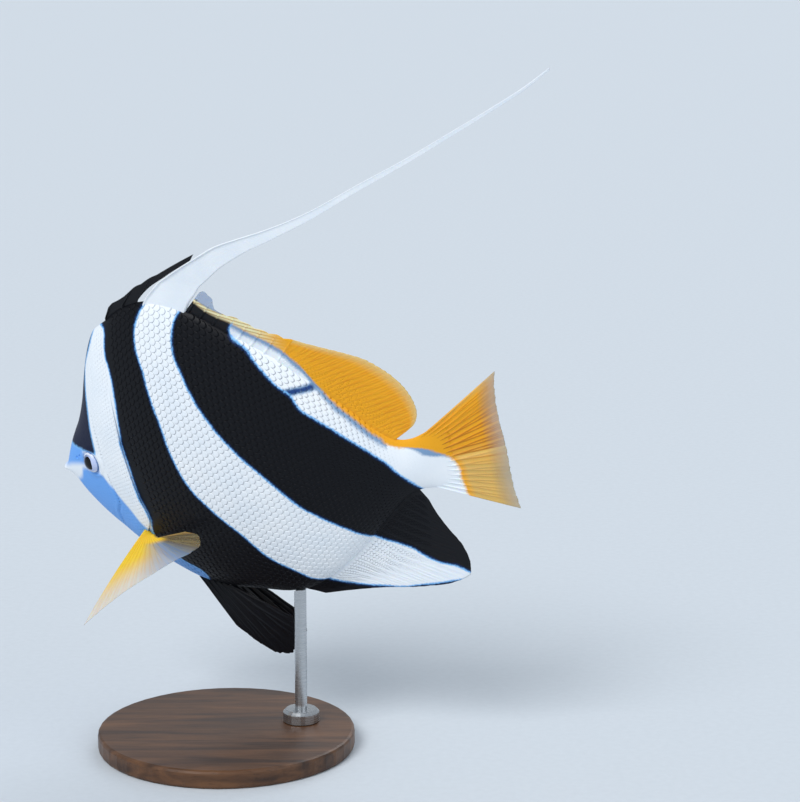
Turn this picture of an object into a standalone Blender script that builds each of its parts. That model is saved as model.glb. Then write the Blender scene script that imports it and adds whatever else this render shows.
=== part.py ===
"""A schooling bannerfish as a still, life-size museum model on a plain display stand, in metres.

The fish is drawn in its own frame: X runs from snout to tail, Y to the fish's right and Z to its
back, with the middle of its standard length at zero. Distances along the fish (s, from the snout),
up it (h) and out from its middle plane (w, to its left) are shares of the standard length. The
tail bends to the right, and the whole fish banks and turns on the stand.
"""
import math

import bmesh
import bpy
import numpy as np
from mathutils import Vector

# Driving sizes
STANDARD_LENGTH = 0.140
GAP = 0.00032
TAIL_BEND = math.radians(-36.5)
BEND_START = 0.5
BEND_SPREAD = 0.6
BANK = math.radians(20.5)
NOSE_DOWN = math.radians(-3.6)
HEADING = math.radians(-30.8)

RING_POINTS = 48
HEAD_RINGS = 28
TORSO_RINGS = 20
STALK_RINGS = 7

# Body outline in the middle plane: back, belly, half width and widest height along the fish
SNOUT = 0.015
BACK = [(0.012, 0.012), (0.021, 0.021), (0.032, 0.036), (0.044, 0.060), (0.059, 0.087),
        (0.079, 0.117), (0.100, 0.147), (0.122, 0.186), (0.140, 0.223), (0.158, 0.266),
        (0.175, 0.305), (0.190, 0.335), (0.206, 0.362), (0.224, 0.386), (0.245, 0.401),
        (0.268, 0.414), (0.290, 0.430), (0.34, 0.455), (0.40, 0.468), (0.46, 0.462),
        (0.53, 0.435), (0.60, 0.392), (0.666, 0.350), (0.72, 0.308), (0.78, 0.250), (0.84, 0.180),
        (0.89, 0.114), (0.925, 0.084), (0.955, 0.079), (0.98, 0.084)]
BELLY = [(0.012, 0.000), (0.022, -0.002), (0.034, -0.006), (0.046, -0.015), (0.056, -0.032),
         (0.068, -0.062), (0.085, -0.089), (0.104, -0.114), (0.124, -0.135), (0.150, -0.158),
         (0.176, -0.182), (0.205, -0.209), (0.232, -0.230), (0.262, -0.247), (0.287, -0.261),
         (0.34, -0.286), (0.40, -0.297), (0.50, -0.300),
         (0.57, -0.299), (0.62, -0.288), (0.68, -0.258), (0.75, -0.206), (0.82, -0.148),
         (0.88, -0.094), (0.92, -0.064), (0.95, -0.055), (0.98, -0.060)]
HALF_WIDTH = [(0.012, 0.010), (0.035, 0.022), (0.07, 0.036), (0.12, 0.050), (0.18, 0.067),
              (0.25, 0.084), (0.32, 0.094), (0.40, 0.096), (0.50, 0.090), (0.60, 0.077),
              (0.70, 0.060), (0.80, 0.043), (0.88, 0.031), (0.94, 0.021), (0.98, 0.012)]
WIDEST = [(0.012, 0.006), (0.1, 0.03), (0.2, 0.03), (0.3, 0.02), (0.5, 0.03), (0.7, 0.035),
          (0.9, 0.012), (0.98, 0.008)]
BACK_KEEL = 1.35
BELLY_KEEL = 1.15

# Where the gill opening parts the head from the trunk, by the angle round the body in degrees
GILL_LINE = [(-90, 0.185), (-70, 0.212), (-55, 0.236), (-40, 0.249), (-31, 0.257), (-25, 0.272),
             (-19, 0.286), (-10, 0.283), (0, 0.276), (30, 0.270), (60, 0.268), (90, 0.262)]
TORSO_END = 0.865
STALK_END = 0.98
GILL_FLARE = 0.006
GILL_FLARE_FROM = 0.70
GILL_FLARE_OVER = 0.22

# The gill cover's flare and grooves lie between these angles round the head, in degrees
CHEEK_LOW, CHEEK_HIGH, CHEEK_EDGE = -62, 42, 25


def curve(points):
    """Smooth line through points with rising first values: a cubic with averaged slopes."""
    x, y = np.array(points, float).T
    slope = np.gradient(y, x)

    def value(t):
        t = np.asarray(t, float)
        i = np.clip(np.searchsorted(x, t) - 1, 0, len(x) - 2)
        step = x[i + 1] - x[i]
        u = (t - x[i]) / step
        return ((2 * u**3 - 3 * u**2 + 1) * y[i] + (u**3 - 2 * u**2 + u) * step * slope[i]
                + (3 * u**2 - 2 * u**3) * y[i + 1] + (u**3 - u**2) * step * slope[i + 1])

    return value


def path(points):
    """Smooth line in two or three dimensions, run at a steady pace from 0 to 1."""
    points = np.array(points, float)
    lengths = np.linalg.norm(np.diff(points, axis=0), axis=1)
    pace = np.concatenate([[0], np.cumsum(lengths)]) / lengths.sum()
    parts = [curve(np.column_stack([pace, column])) for column in points.T]

    def value(t):
        return np.stack([part(t) for part in parts], axis=-1)

    return value


def ease(t):
    t = np.clip(t, 0, 1)
    return t * t * (3 - 2 * t)


back_line = curve(BACK)
belly_line = curve(BELLY)
half_width = curve(HALF_WIDTH)
widest_line = curve(WIDEST)
gill_line = curve(GILL_LINE)


def middle_line():
    """Way of the fish's middle line: straight to BEND_START, then turning to the right."""
    s = np.linspace(-0.1, 1.6, 1701)
    turn = TAIL_BEND * ease((s - BEND_START) / BEND_SPREAD)
    x = np.concatenate([[0], np.cumsum(np.cos((turn[1:] + turn[:-1]) / 2) * np.diff(s))])
    y = np.concatenate([[0], np.cumsum(np.sin((turn[1:] + turn[:-1]) / 2) * np.diff(s))])
    start = np.interp(BEND_START, s, x)
    return s, x - start, y, turn


LINE_S, LINE_X, LINE_Y, LINE_TURN = middle_line()


def in_fish(shw):
    """Metres in the fish's frame from (s, h, w) shares."""
    s, h, w = np.moveaxis(np.asarray(shw, float), -1, 0)
    turn = np.interp(s, LINE_S, LINE_TURN)
    x = np.interp(s, LINE_S, LINE_X) - w * np.sin(turn)
    y = -np.interp(s, LINE_S, LINE_Y) - w * np.cos(turn)
    return np.stack([x, y, h], axis=-1) * STANDARD_LENGTH


def body_skin(s, angle):
    """(s, h, w) on the body, angle 0 at the left side, a right angle at the back's ridge."""
    middle = widest_line(s)
    rise = np.where(np.sin(angle) > 0, back_line(s) - middle, middle - belly_line(s))
    keel = np.where(np.sin(angle) > 0, BACK_KEEL, BELLY_KEEL)
    cosine = np.cos(angle)
    w = half_width(s) * np.sign(cosine) * np.abs(cosine) ** keel
    return np.stack([s, middle + rise * np.sin(angle), w], axis=-1)


def material(name, colour, roughness, metallic=0.0):
    made = bpy.data.materials.new(name)
    made.use_nodes = True
    shader = made.node_tree.nodes["Principled BSDF"]
    shader.inputs["Base Color"].default_value = (*colour, 1)
    shader.inputs["Roughness"].default_value = roughness
    shader.inputs["Metallic"].default_value = metallic
    return made


def start_scene():
    for obj in list(bpy.data.objects):
        bpy.data.objects.remove(obj)
    made = {}
    for name in ("schooling_bannerfish", "cutters"):
        made[name] = bpy.data.collections.new(name)
        bpy.context.scene.collection.children.link(made[name])
    return made["schooling_bannerfish"], made["cutters"]


PARTS, CUTTERS = start_scene()
WHITE = material("white_skin", (0.80, 0.82, 0.84), 0.4)
BLACK = material("black_skin", (0.02, 0.02, 0.025), 0.4)
YELLOW = material("yellow_fin", (0.80, 0.42, 0.03), 0.45)
FIN_WHITE = material("white_fin", (0.78, 0.80, 0.82), 0.45)
EYE = material("eye", (0.01, 0.01, 0.012), 0.1)
WOOD = material("dark_wood", (0.05, 0.03, 0.02), 0.4)
STEEL = material("brushed_steel", (0.6, 0.6, 0.62), 0.3, 1.0)


def mesh_object(name, points, faces, finish, collection=PARTS):
    mesh = bpy.data.meshes.new(name)
    mesh.from_pydata([tuple(map(float, point)) for point in points], [], faces)
    mesh.materials.append(finish)
    mesh.shade_smooth()
    mesh.set_sharp_from_angle(angle=math.radians(40))
    obj = bpy.data.objects.new(name, mesh)
    collection.objects.link(obj)
    return obj


def as_cutter(obj):
    obj.hide_render = True
    obj.display_type = "WIRE"
    return obj


def cut(obj, *cutters):
    for cutter in cutters:
        step = obj.modifiers.new("cut_" + cutter.name, "BOOLEAN")
        step.operation = "DIFFERENCE"
        step.solver = "EXACT"
        step.object = cutter


def empty(name, parent=None):
    obj = bpy.data.objects.new(name, None)
    obj.parent = parent
    PARTS.objects.link(obj)
    return obj


MODEL = empty("model")
POSE = empty("fish_pose", MODEL)
POSE.rotation_euler = (BANK, NOSE_DOWN, HEADING)


def loft(name, rings, tips, finish, collection=PARTS):
    """Closed body through rings of like numbers of points, each end drawn in to its tip."""
    count, around = rings.shape[:2]
    points = np.concatenate([rings.reshape(-1, 3), np.array(tips)])
    here = np.arange(around)
    nxt = (here + 1) % around
    faces = [(a + j * around, a + (j + 1) * around, b + (j + 1) * around, b + j * around)
             for j in range(count - 1) for a, b in zip(here, nxt)]
    last = (count - 1) * around
    faces += [(count * around, a, b) for a, b in zip(here, nxt)]
    faces += [(count * around + 1, b + last, a + last) for a, b in zip(here, nxt)]
    faces = [tuple(int(i) for i in face) for face in faces]
    obj = mesh_object(name, in_fish(points), faces, finish, collection)
    obj.parent = POSE
    return obj


# The body: angles round it, and the parting lines between head, trunk and tail stalk
ANGLES = np.radians(np.arange(RING_POINTS) * 360 / RING_POINTS - 90)
LEVELS = np.degrees(np.arcsin(np.sin(ANGLES)))
PARTING = 0.0034
STALK_PARTING = 0.0027
FIN_LIFT = 0.0030
GILL_CENTRE = (0.262, 0.06, 0.0)

EYE_PLACE = (0.142, 0.058)
EYE_RADIUS = 0.0275
EYE_DEPTH = 0.018
EYE_SINK = 0.006
EYE_TURN = math.radians(16)
EYE_TILT = math.radians(6)

# Lips, the groove behind them, the rim round the eye and the edge of the cheek plate, each as
# place, spread and height
LIPS = (0.020, 0.006, 0.0020)
LIP_GROOVE = (0.034, 0.006, -0.0016)
ORBIT_RIM = (0.0335, 0.005, 0.0022)
CHEEK_GROOVE = (0.66, 0.022, -0.0022)


def bump(x, spec):
    place, spread, height = spec
    return height * np.exp(-((x - place) / spread) ** 2)


def head_skin(u, angle):
    """(s, h, w) on the head, u from 0 at the snout to 1 at the gill opening."""
    level = np.degrees(np.arcsin(np.sin(angle)))
    s = SNOUT + u * (gill_line(level) - SNOUT)
    points = body_skin(s, angle)
    cheek = ease((level - CHEEK_LOW) / CHEEK_EDGE) * ease((CHEEK_HIGH - level) / CHEEK_EDGE)
    raised = GILL_FLARE * ease((u - GILL_FLARE_FROM) / GILL_FLARE_OVER) * cheek
    raised = raised + bump(s, LIPS) + bump(s, LIP_GROOVE)
    raised = raised + bump(u, CHEEK_GROOVE) * cheek
    from_eye = np.hypot(s - EYE_PLACE[0], points[..., 1] - EYE_PLACE[1])
    raised = raised + bump(from_eye, ORBIT_RIM)
    points[..., 1] += raised * np.sin(angle)
    points[..., 2] += raised * np.cos(angle)
    return points


def build_head():
    u = np.linspace(0, 1, HEAD_RINGS) ** 1.2
    rings = head_skin(u[:, None], ANGLES[None, :])
    return loft("head", rings, [(SNOUT - 0.002, 0.006, 0.0), GILL_CENTRE], WHITE)


def build_torso():
    t = np.linspace(0, 1, TORSO_RINGS)[:, None]
    start = gill_line(LEVELS)[None, :] + PARTING
    rings = body_skin(start + t * (TORSO_END - start), ANGLES[None, :])
    middle = (TORSO_END, float(widest_line(TORSO_END)), 0.0)
    front = (GILL_CENTRE[0] + PARTING, *GILL_CENTRE[1:])
    return loft("torso", rings, [front, middle], WHITE)


def build_stalk():
    s = np.linspace(TORSO_END + STALK_PARTING, STALK_END, STALK_RINGS)
    rings = body_skin(s[:, None] + 0 * ANGLES, ANGLES[None, :] + 0 * s[:, None])
    tips = [(float(end), float(widest_line(end)), 0.0) for end in (s[0], s[-1])]
    return loft("tail_stalk", rings, tips, WHITE)


def ball(name, centre, radii, side, collection, finish):
    """Flattened ball set in the side of the head, turned a little forward and up."""
    mesh = bpy.data.meshes.new(name)
    shape = bmesh.new()
    bmesh.ops.create_uvsphere(shape, u_segments=20, v_segments=10, radius=1)
    bmesh.ops.scale(shape, vec=Vector(radii) * STANDARD_LENGTH, verts=shape.verts)
    shape.to_mesh(mesh)
    shape.free()
    mesh.materials.append(finish)
    mesh.shade_smooth()
    obj = bpy.data.objects.new(name, mesh)
    obj.location = in_fish(centre)
    obj.rotation_euler = (side * (math.radians(90) - EYE_TILT), 0, side * -EYE_TURN)
    collection.objects.link(obj)
    obj.parent = POSE
    return obj


def flank(s, h):
    """Angle and half width of the body where the flank passes height h."""
    middle = widest_line(s)
    rise = np.where(h > middle, back_line(s) - middle, middle - belly_line(s))
    angle = np.arcsin(np.clip((h - middle) / rise, -1, 1))
    return angle, body_skin(s, angle)[..., 2]


def build_eyes(head):
    s, h = EYE_PLACE
    out = float(flank(s, h)[1]) - EYE_SINK
    room = GAP / STANDARD_LENGTH
    for side, word in ((1, "left"), (-1, "right")):
        centre = (s, h, side * out)
        size = (EYE_RADIUS, EYE_RADIUS, EYE_DEPTH)
        ball("eye_" + word, centre, size, side, PARTS, EYE)
        wider = tuple(r + room for r in size)
        cut(head, as_cutter(ball("socket_" + word, centre, wider, side, CUTTERS, EYE)))


# Mouth slit and nostrils
GAPE = ((0.010, 0.005, 0.0), (0.024, 0.016, 0.0022))
NOSTRILS = ((0.086, 0.058), (0.098, 0.064))
NOSTRIL_RADIUS = 0.0042


def cutter_ball(name, centre, radii, segments, rings):
    mesh = bpy.data.meshes.new(name)
    shape = bmesh.new()
    bmesh.ops.create_uvsphere(shape, u_segments=segments, v_segments=rings, radius=1)
    bmesh.ops.scale(shape, vec=Vector(radii) * STANDARD_LENGTH, verts=shape.verts)
    shape.to_mesh(mesh)
    shape.free()
    obj = bpy.data.objects.new(name, mesh)
    obj.location = in_fish(centre)
    CUTTERS.objects.link(obj)
    obj.parent = POSE
    return as_cutter(obj)


def open_mouth_and_nostrils(head):
    cut(head, cutter_ball("gape", *GAPE, 16, 8))
    for side in (1, -1):
        for number, (s, h) in enumerate(NOSTRILS):
            centre = (s, h, side * float(flank(s, h)[1]))
            name = f"nostril_{number}_{'left' if side > 0 else 'right'}"
            cut(head, cutter_ball(name, centre, [NOSTRIL_RADIUS] * 3, 8, 6))


def fin(name, root, edge, rays, rows, thick, finish, notch=0.0, bow=None):
    """Membrane between a root line and an edge line, thicker along its rays.

    rays holds each ray's place along the lines from 0 to 1. thick holds the thickness of a ray at
    its root and tip, and of the membrane between, in metres. notch draws the membrane's edge in
    between the ray tips, and bow bends each ray by (s, h, w) at its middle.
    """
    across = np.sort(np.concatenate([rays, (rays[1:] + rays[:-1]) / 2]))
    is_ray = np.isin(across, rays)
    along = np.linspace(0, 1, rows)
    reach = along[None, :] * np.where(is_ray, 1.0, 1 - notch)[:, None]
    start, end = root(across)[:, None, :], edge(across)[:, None, :]
    points = start + (end - start) * reach[..., None]
    if bow is not None:
        points = points + bow(across)[:, None, :] * (4 * reach * (1 - reach))[..., None]
    ray_thick = thick[0] + (thick[1] - thick[0]) * along
    thickness = np.where(is_ray[:, None], ray_thick[None, :], np.minimum(ray_thick, thick[2]))
    return sheet(name, points, thickness, finish)


def sheet(name, points, thickness, finish):
    """Grid of (s, h, w) points given its thickness, split alike on both faces."""
    across, along = points.shape[:2]
    faces = []
    for i in range(across - 1):
        for j in range(along - 1):
            a, b = i * along + j, (i + 1) * along + j
            faces += [(a, b, b + 1), (a, b + 1, a + 1)]
    obj = mesh_object(name, in_fish(points.reshape(-1, 3)), faces, finish)
    group = obj.vertex_groups.new(name="thickness")
    most = float(thickness.max())
    for index, value in enumerate(thickness.ravel() / most):
        group.add([index], float(value), "REPLACE")
    wall = obj.modifiers.new("thickness", "SOLIDIFY")
    wall.thickness = most
    wall.offset = 0
    wall.vertex_group = group.name
    wall.thickness_vertex_group = 0
    obj.parent = POSE
    return obj


def between(first, last, count):
    return np.linspace(first, last, count)


def in_middle(sh):
    """Adds w = 0 to (s, h) values."""
    return np.concatenate([sh, np.zeros_like(sh[..., :1])], axis=-1)


def ridge_root(line, side, first, last):
    """Root line along the back's ridge (side 1) or the belly's (side -1), a little off it."""
    def root(t):
        s = first + (last - first) * t
        slope = (line(s + 0.001) - line(s - 0.001)) / 0.002
        off = side * FIN_LIFT / np.sqrt(1 + slope**2)
        return in_middle(np.stack([s - slope * off, line(s) + off], axis=-1))
    return root


def edge_line(points):
    line = path(points)
    return lambda t: in_middle(line(t))


# Dorsal fin: the banner stands between the first three spines and the rest
BANNER_FRONT = [(0.388, 0.4705), (0.399, 0.483), (0.435, 0.508), (0.476, 0.531), (0.529, 0.559),
                (0.578, 0.583), (0.627, 0.606), (0.686, 0.622), (0.757, 0.637), (0.858, 0.662),
                (0.980, 0.700), (1.100, 0.731), (1.219, 0.766), (1.292, 0.788), (1.376, 0.816),
                (1.436, 0.842)]
BANNER_BACK = [(0.500, 0.4530), (0.523, 0.477), (0.546, 0.493), (0.560, 0.506), (0.587, 0.525),
               (0.626, 0.552), (0.674, 0.577), (0.715, 0.595), (0.757, 0.609), (0.858, 0.643),
               (0.980, 0.686), (1.100, 0.720), (1.219, 0.757), (1.292, 0.780), (1.376, 0.809),
               (1.434, 0.836)]
# The banner is two nodes, parted past its bend: where along it, with the rows and the gap between
BANNER_PARTED = 0.30
BANNER_ROWS = (16, 30)
BANNER_PARTING = 0.0056
BANNER_FOOT = 12
BANNER_THINS = 1.6
BANNER_SHARES = (0, 0.12, 0.35, 0.6, 0.8, 1)
BANNER_ROOT_THICK = (0.0011, 0.0016, 0.0009, 0.0012, 0.0007, 0.0006)
BANNER_TIP_THICK = (0.0004, 0.0005, 0.0005, 0.0005, 0.0005, 0.0004)


def build_banner():
    """The long fourth spine and its web, as a broad foot and a streamer that trails from it."""
    front, back = edge_line(BANNER_FRONT), edge_line(BANNER_BACK)
    root, tip = np.array(BANNER_ROOT_THICK), np.array(BANNER_TIP_THICK)
    half = BANNER_PARTING / 2
    pieces = (("dorsal_banner", 0, BANNER_PARTED - half), ("banner_streamer", BANNER_PARTED + half, 1))
    for (name, first, last), count in zip(pieces, BANNER_ROWS):
        rows = np.linspace(first, last, count)
        lead, trail = front(rows), back(rows)
        points = lead[None] + (trail - lead)[None] * np.array(BANNER_SHARES)[:, None, None]
        if first == 0:
            rise = back_line(points[:, :1, 0]) + FIN_LIFT - points[:, :1, 1]
            points[..., 1] += rise * np.clip(1 - rows * BANNER_FOOT, 0, 1)
        thickness = root[:, None] + (tip - root)[:, None] * ease(rows * BANNER_THINS)[None, :]
        sheet(name, points, thickness, FIN_WHITE)


# The web that climbs the banner's front edge, from the third spine's root up
FRONT_WEB_FOOT = [(0.397, 0.4855), (0.433, 0.511), (0.4745, 0.5337), (0.5276, 0.5618), (0.562, 0.578)]
FRONT_WEB_EDGE = [(0.290, 0.448), (0.303, 0.458), (0.322, 0.467), (0.346, 0.480), (0.386, 0.505),
                  (0.449, 0.5345), (0.520, 0.5675), (0.572, 0.590)]
FRONT_RAYS = (0, 0.13, 0.27, 0.42, 0.58, 0.74, 0.88, 1)
FRONT_LEAN = 0.75


def build_dorsal_front():
    """The three short spines before the banner, and the web that joins them to it."""
    ridge = ridge_root(back_line, 1, 0.272, 0.376)(between(0, 1, 5))[:, :2]
    foot, edge = edge_line([*ridge, *FRONT_WEB_FOOT]), edge_line(FRONT_WEB_EDGE)
    fin("dorsal_front_spines", foot, lambda t: edge(t ** FRONT_LEAN), np.array(FRONT_RAYS), 7,
        (0.0014, 0.0006, 0.0006), BLACK)


def build_dorsal_back():
    edge = edge_line([(0.558, 0.495), (0.569, 0.4965), (0.580, 0.491), (0.585, 0.479),
                      (0.584, 0.463), (0.589, 0.448), (0.602, 0.440), (0.622, 0.4345),
                      (0.640, 0.427), (0.662, 0.412), (0.688, 0.398), (0.714, 0.387),
                      (0.744, 0.374)])
    fin("dorsal_back_spines", ridge_root(back_line, 1, 0.506, 0.700), edge, between(0, 1, 9), 6,
        (0.0014, 0.0006, 0.0006), WHITE, notch=0.14)


def build_dorsal_soft():
    edge = edge_line([(0.749, 0.371), (0.806, 0.345), (0.853, 0.323), (0.899, 0.296),
                      (0.930, 0.266), (0.955, 0.233), (0.973, 0.198), (0.982, 0.160),
                      (0.980, 0.130), (0.968, 0.110), (0.952, 0.100)])
    fin("dorsal_soft_fin", ridge_root(back_line, 1, 0.704, 0.925), edge, between(0, 1, 24), 6,
        (0.0011, 0.0005, 0.0005), YELLOW)


def build_anal():
    edge = edge_line([(0.655, -0.303), (0.710, -0.296), (0.800, -0.294), (0.900, -0.308),
                      (0.970, -0.313), (1.006, -0.303), (1.013, -0.270), (1.005, -0.220),
                      (0.984, -0.170), (0.966, -0.120), (0.957, -0.084)])
    fin("anal_fin", ridge_root(belly_line, -1, 0.615, 0.945), edge, between(0, 1, 21), 7,
        (0.0012, 0.0005, 0.0005), BLACK)


def build_caudal():
    foot = path([(STALK_END + 0.0026, 0.082), (STALK_END + 0.0026, -0.058)])
    edge = edge_line([(1.172, 0.188), (1.163, 0.150), (1.157, 0.090), (1.156, 0.0),
                      (1.152, -0.090), (1.152, -0.130), (1.156, -0.172)])
    fin("caudal_fin", lambda t: in_middle(foot(t)), edge, between(0, 1, 17), 8,
        (0.0022, 0.0005, 0.0005), YELLOW)


# Pectoral fins: the left one's root and edge, mirrored for the right
PECTORAL_ROOT = [(0.254, -0.118), (0.268, -0.111), (0.280, -0.098)]
PECTORAL_EDGE = [(0.225, -0.198, 0.344), (0.238, -0.190, 0.322), (0.256, -0.180, 0.294),
                 (0.292, -0.164, 0.240), (0.334, -0.150, 0.192), (0.380, -0.132, 0.158),
                 (0.430, -0.112, 0.138), (0.453, -0.094, 0.130), (0.450, -0.080, 0.124),
                 (0.409, -0.072, 0.118)]
PECTORAL_BOW = (-0.004, 0.0, 0.006)
PECTORAL_LIFT = (0.0115, 0.0056)


def build_pectorals():
    foot, rim = path(PECTORAL_ROOT), path(PECTORAL_EDGE)
    for side, word in ((1, "left"), (-1, "right")):
        def root(t, side=side):
            sh = foot(t)
            lift = PECTORAL_LIFT[0] + (PECTORAL_LIFT[1] - PECTORAL_LIFT[0]) * t
            out = flank(sh[..., 0], sh[..., 1])[1] + lift
            return np.concatenate([sh, side * out[..., None]], axis=-1)

        def edge(t, side=side):
            return rim(t) * (1, 1, side)

        def bow(t, side=side):
            return np.array(PECTORAL_BOW) * (1, 1, side) * (1 - t)[:, None]

        fin("pectoral_fin_" + word, root, edge, between(0, 1, 15), 7,
            (0.0007, 0.0005, 0.0005), YELLOW, bow=bow)


# Pelvic fins
PELVIC_ROOT = (0.330, 0.430)
PELVIC_ANGLE = math.radians(-74)
PELVIC_LIFT = 0.005
PELVIC_EDGE = [(0.401, -0.395, 0.036), (0.420, -0.414, 0.035), (0.446, -0.439, 0.033),
               (0.468, -0.457, 0.031), (0.493, -0.471, 0.028), (0.521, -0.473, 0.024),
               (0.547, -0.454, 0.020), (0.564, -0.420, 0.016), (0.558, -0.370, 0.013)]
PELVIC_BOW = (0.005, 0.003, 0.006)


def build_pelvics():
    rim = path(PELVIC_EDGE)
    first, last = PELVIC_ROOT
    for side, word in ((1, "left"), (-1, "right")):
        def root(t, side=side):
            points = body_skin(first + (last - first) * t, PELVIC_ANGLE + 0 * t)
            points[..., 1] += PELVIC_LIFT * math.sin(PELVIC_ANGLE)
            points[..., 2] += PELVIC_LIFT * math.cos(PELVIC_ANGLE)
            return points * (1, 1, side)

        def edge(t, side=side):
            return rim(t) * (1, 1, side)

        def bow(t, side=side):
            return np.array(PELVIC_BOW) * (1, 1, side) * (1 - 0.8 * t)[:, None]

        fin("pelvic_fin_" + word, root, edge, between(0, 1, 6), 9,
            (0.0013, 0.0005, 0.0006), BLACK, bow=bow)


# Display stand: a round wooden base, and a steel rod with a collar up to the belly
MIDDLE_HEIGHT = 0.089
BASE_RADIUS = 0.042
BASE_HEIGHT = 0.006
BASE_EDGE = 0.001
BASE_UNDER = (0.485, 0.07, 0.0)
ROD_AT = 0.588
ROD_RADIUS = 0.0020
ROD_SADDLE = 0.0016
COLLAR_RADIUS = 0.006
COLLAR_HEIGHT = 0.004
COLLAR_EDGE = 0.001
SADDLE_REACH = 0.05


def world(point):
    """Place in the model of a (s, h, w) point of the posed fish."""
    bpy.context.view_layer.update()
    return POSE.matrix_world @ Vector(in_fish(point))


def build_base():
    under = world(BASE_UNDER)
    mesh = bpy.data.meshes.new("stand_base")
    shape = bmesh.new()
    bmesh.ops.create_cone(shape, cap_ends=True, segments=48, radius1=BASE_RADIUS,
                          radius2=BASE_RADIUS, depth=BASE_HEIGHT)
    shape.to_mesh(mesh)
    shape.free()
    mesh.materials.append(WOOD)
    mesh.shade_smooth()
    mesh.set_sharp_from_angle(angle=math.radians(40))
    obj = bpy.data.objects.new("stand_base", mesh)
    obj.location = (under.x, under.y, BASE_HEIGHT / 2)
    edge = obj.modifiers.new("edge", "BEVEL")
    edge.width = BASE_EDGE
    edge.segments = 2
    edge.limit_method = "ANGLE"
    PARTS.objects.link(obj)
    obj.parent = MODEL


def build_rod():
    belly = world((ROD_AT, float(belly_line(ROD_AT)), 0.0))
    foot = BASE_HEIGHT + GAP
    top = belly.z + ROD_SADDLE
    neck = foot + COLLAR_HEIGHT
    profile = [(0, top), (ROD_RADIUS, top), (ROD_RADIUS, neck), (COLLAR_RADIUS - COLLAR_EDGE, neck),
               (COLLAR_RADIUS, neck - COLLAR_EDGE), (COLLAR_RADIUS, foot), (0, foot)]
    mesh = bpy.data.meshes.new("stand_rod")
    edges = [(i, i + 1) for i in range(len(profile) - 1)]
    mesh.from_pydata([(x, 0, z) for x, z in profile], edges, [])
    mesh.materials.append(STEEL)
    obj = bpy.data.objects.new("stand_rod", mesh)
    obj.location = (belly.x, belly.y, 0)
    turn = obj.modifiers.new("turned", "SCREW")
    turn.steps = turn.render_steps = 24
    turn.use_merge_vertices = True
    turn.merge_threshold = 0.00001
    turn.use_smooth_shade = True
    PARTS.objects.link(obj)
    obj.parent = MODEL
    s = np.linspace(ROD_AT - SADDLE_REACH, ROD_AT + SADDLE_REACH, 9)
    rings = body_skin(s[:, None] + 0 * ANGLES, ANGLES[None, :] + 0 * s[:, None])
    room = GAP * 1.2 / STANDARD_LENGTH
    rings[..., 1] += room * np.sin(ANGLES)
    rings[..., 2] += room * np.cos(ANGLES)
    tips = [(float(end), float(widest_line(end)), 0.0) for end in (s[0], s[-1])]
    cut(obj, as_cutter(loft("belly_form", rings, tips, STEEL, CUTTERS)))


def set_on_origin():
    """Moves the model so that the middle of its floor print is over the origin."""
    bpy.context.view_layer.update()
    graph = bpy.context.evaluated_depsgraph_get()
    corners = []
    for obj in PARTS.objects:
        if obj.type == "MESH":
            solid = obj.evaluated_get(graph)
            mesh = solid.to_mesh()
            corners += [solid.matrix_world @ point.co for point in mesh.vertices]
            solid.to_mesh_clear()
    corners = np.array(corners)
    low, high = corners.min(axis=0), corners.max(axis=0)
    middle = (low + high) / 2
    MODEL.location = (-middle[0], -middle[1], -low[2])


def build_model():
    POSE.location = (0, 0, MIDDLE_HEIGHT)
    head = build_head()
    build_torso()
    build_stalk()
    build_eyes(head)
    open_mouth_and_nostrils(head)
    build_dorsal_front()
    build_banner()
    build_dorsal_back()
    build_dorsal_soft()
    build_anal()
    build_caudal()
    build_pectorals()
    build_pelvics()
    build_base()
    build_rod()
    set_on_origin()


build_model()
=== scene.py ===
"""Looks of a life-size schooling bannerfish on a plain display stand, in metres.

The fish is drawn in shares of its standard length: s runs from the snout tailward, h up to the
back and w out to the fish's left. Its middle line bends to the right behind the fin's middle.
"""
import math

import bpy
import numpy as np
from mathutils import Euler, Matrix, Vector


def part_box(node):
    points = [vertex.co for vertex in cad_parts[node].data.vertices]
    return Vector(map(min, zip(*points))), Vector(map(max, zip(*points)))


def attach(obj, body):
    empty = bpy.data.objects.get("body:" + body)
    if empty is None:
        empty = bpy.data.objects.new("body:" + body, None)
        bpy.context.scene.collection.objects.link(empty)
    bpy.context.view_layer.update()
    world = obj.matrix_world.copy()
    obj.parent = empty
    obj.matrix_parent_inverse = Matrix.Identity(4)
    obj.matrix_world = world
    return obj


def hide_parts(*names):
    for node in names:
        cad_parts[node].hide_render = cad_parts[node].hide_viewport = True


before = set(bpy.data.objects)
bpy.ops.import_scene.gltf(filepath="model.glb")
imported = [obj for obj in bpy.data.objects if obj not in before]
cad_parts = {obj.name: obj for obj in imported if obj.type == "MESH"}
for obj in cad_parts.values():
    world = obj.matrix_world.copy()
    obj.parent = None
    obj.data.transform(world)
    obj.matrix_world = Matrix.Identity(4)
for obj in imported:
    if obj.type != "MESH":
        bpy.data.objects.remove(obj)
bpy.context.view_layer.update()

# The pose and the camera: the fish banks and turns on its stand, and is seen from its left side,
# a little from above, with a long lens. The pose is the one that the solids have, and hangs from
# the middle of the stand's base.
LENGTH = 0.140
BANK, NOSE_DOWN, HEADING = math.radians(20.5), math.radians(-3.6), math.radians(-30.8)
MIDDLE_HEIGHT = 0.089
BASE_UNDER = (0.485, 0.07)
BEND_START = 0.5

base_low, base_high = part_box("stand_base")
turned = np.array(Euler((BANK, NOSE_DOWN, HEADING)).to_matrix())
under = turned @ (np.array([BASE_UNDER[0] - BEND_START, 0, BASE_UNDER[1]]) * LENGTH)
middle = np.array([(base_low.x + base_high.x) / 2 - under[0],
                   (base_low.y + base_high.y) / 2 - under[1], MIDDLE_HEIGHT])

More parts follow.
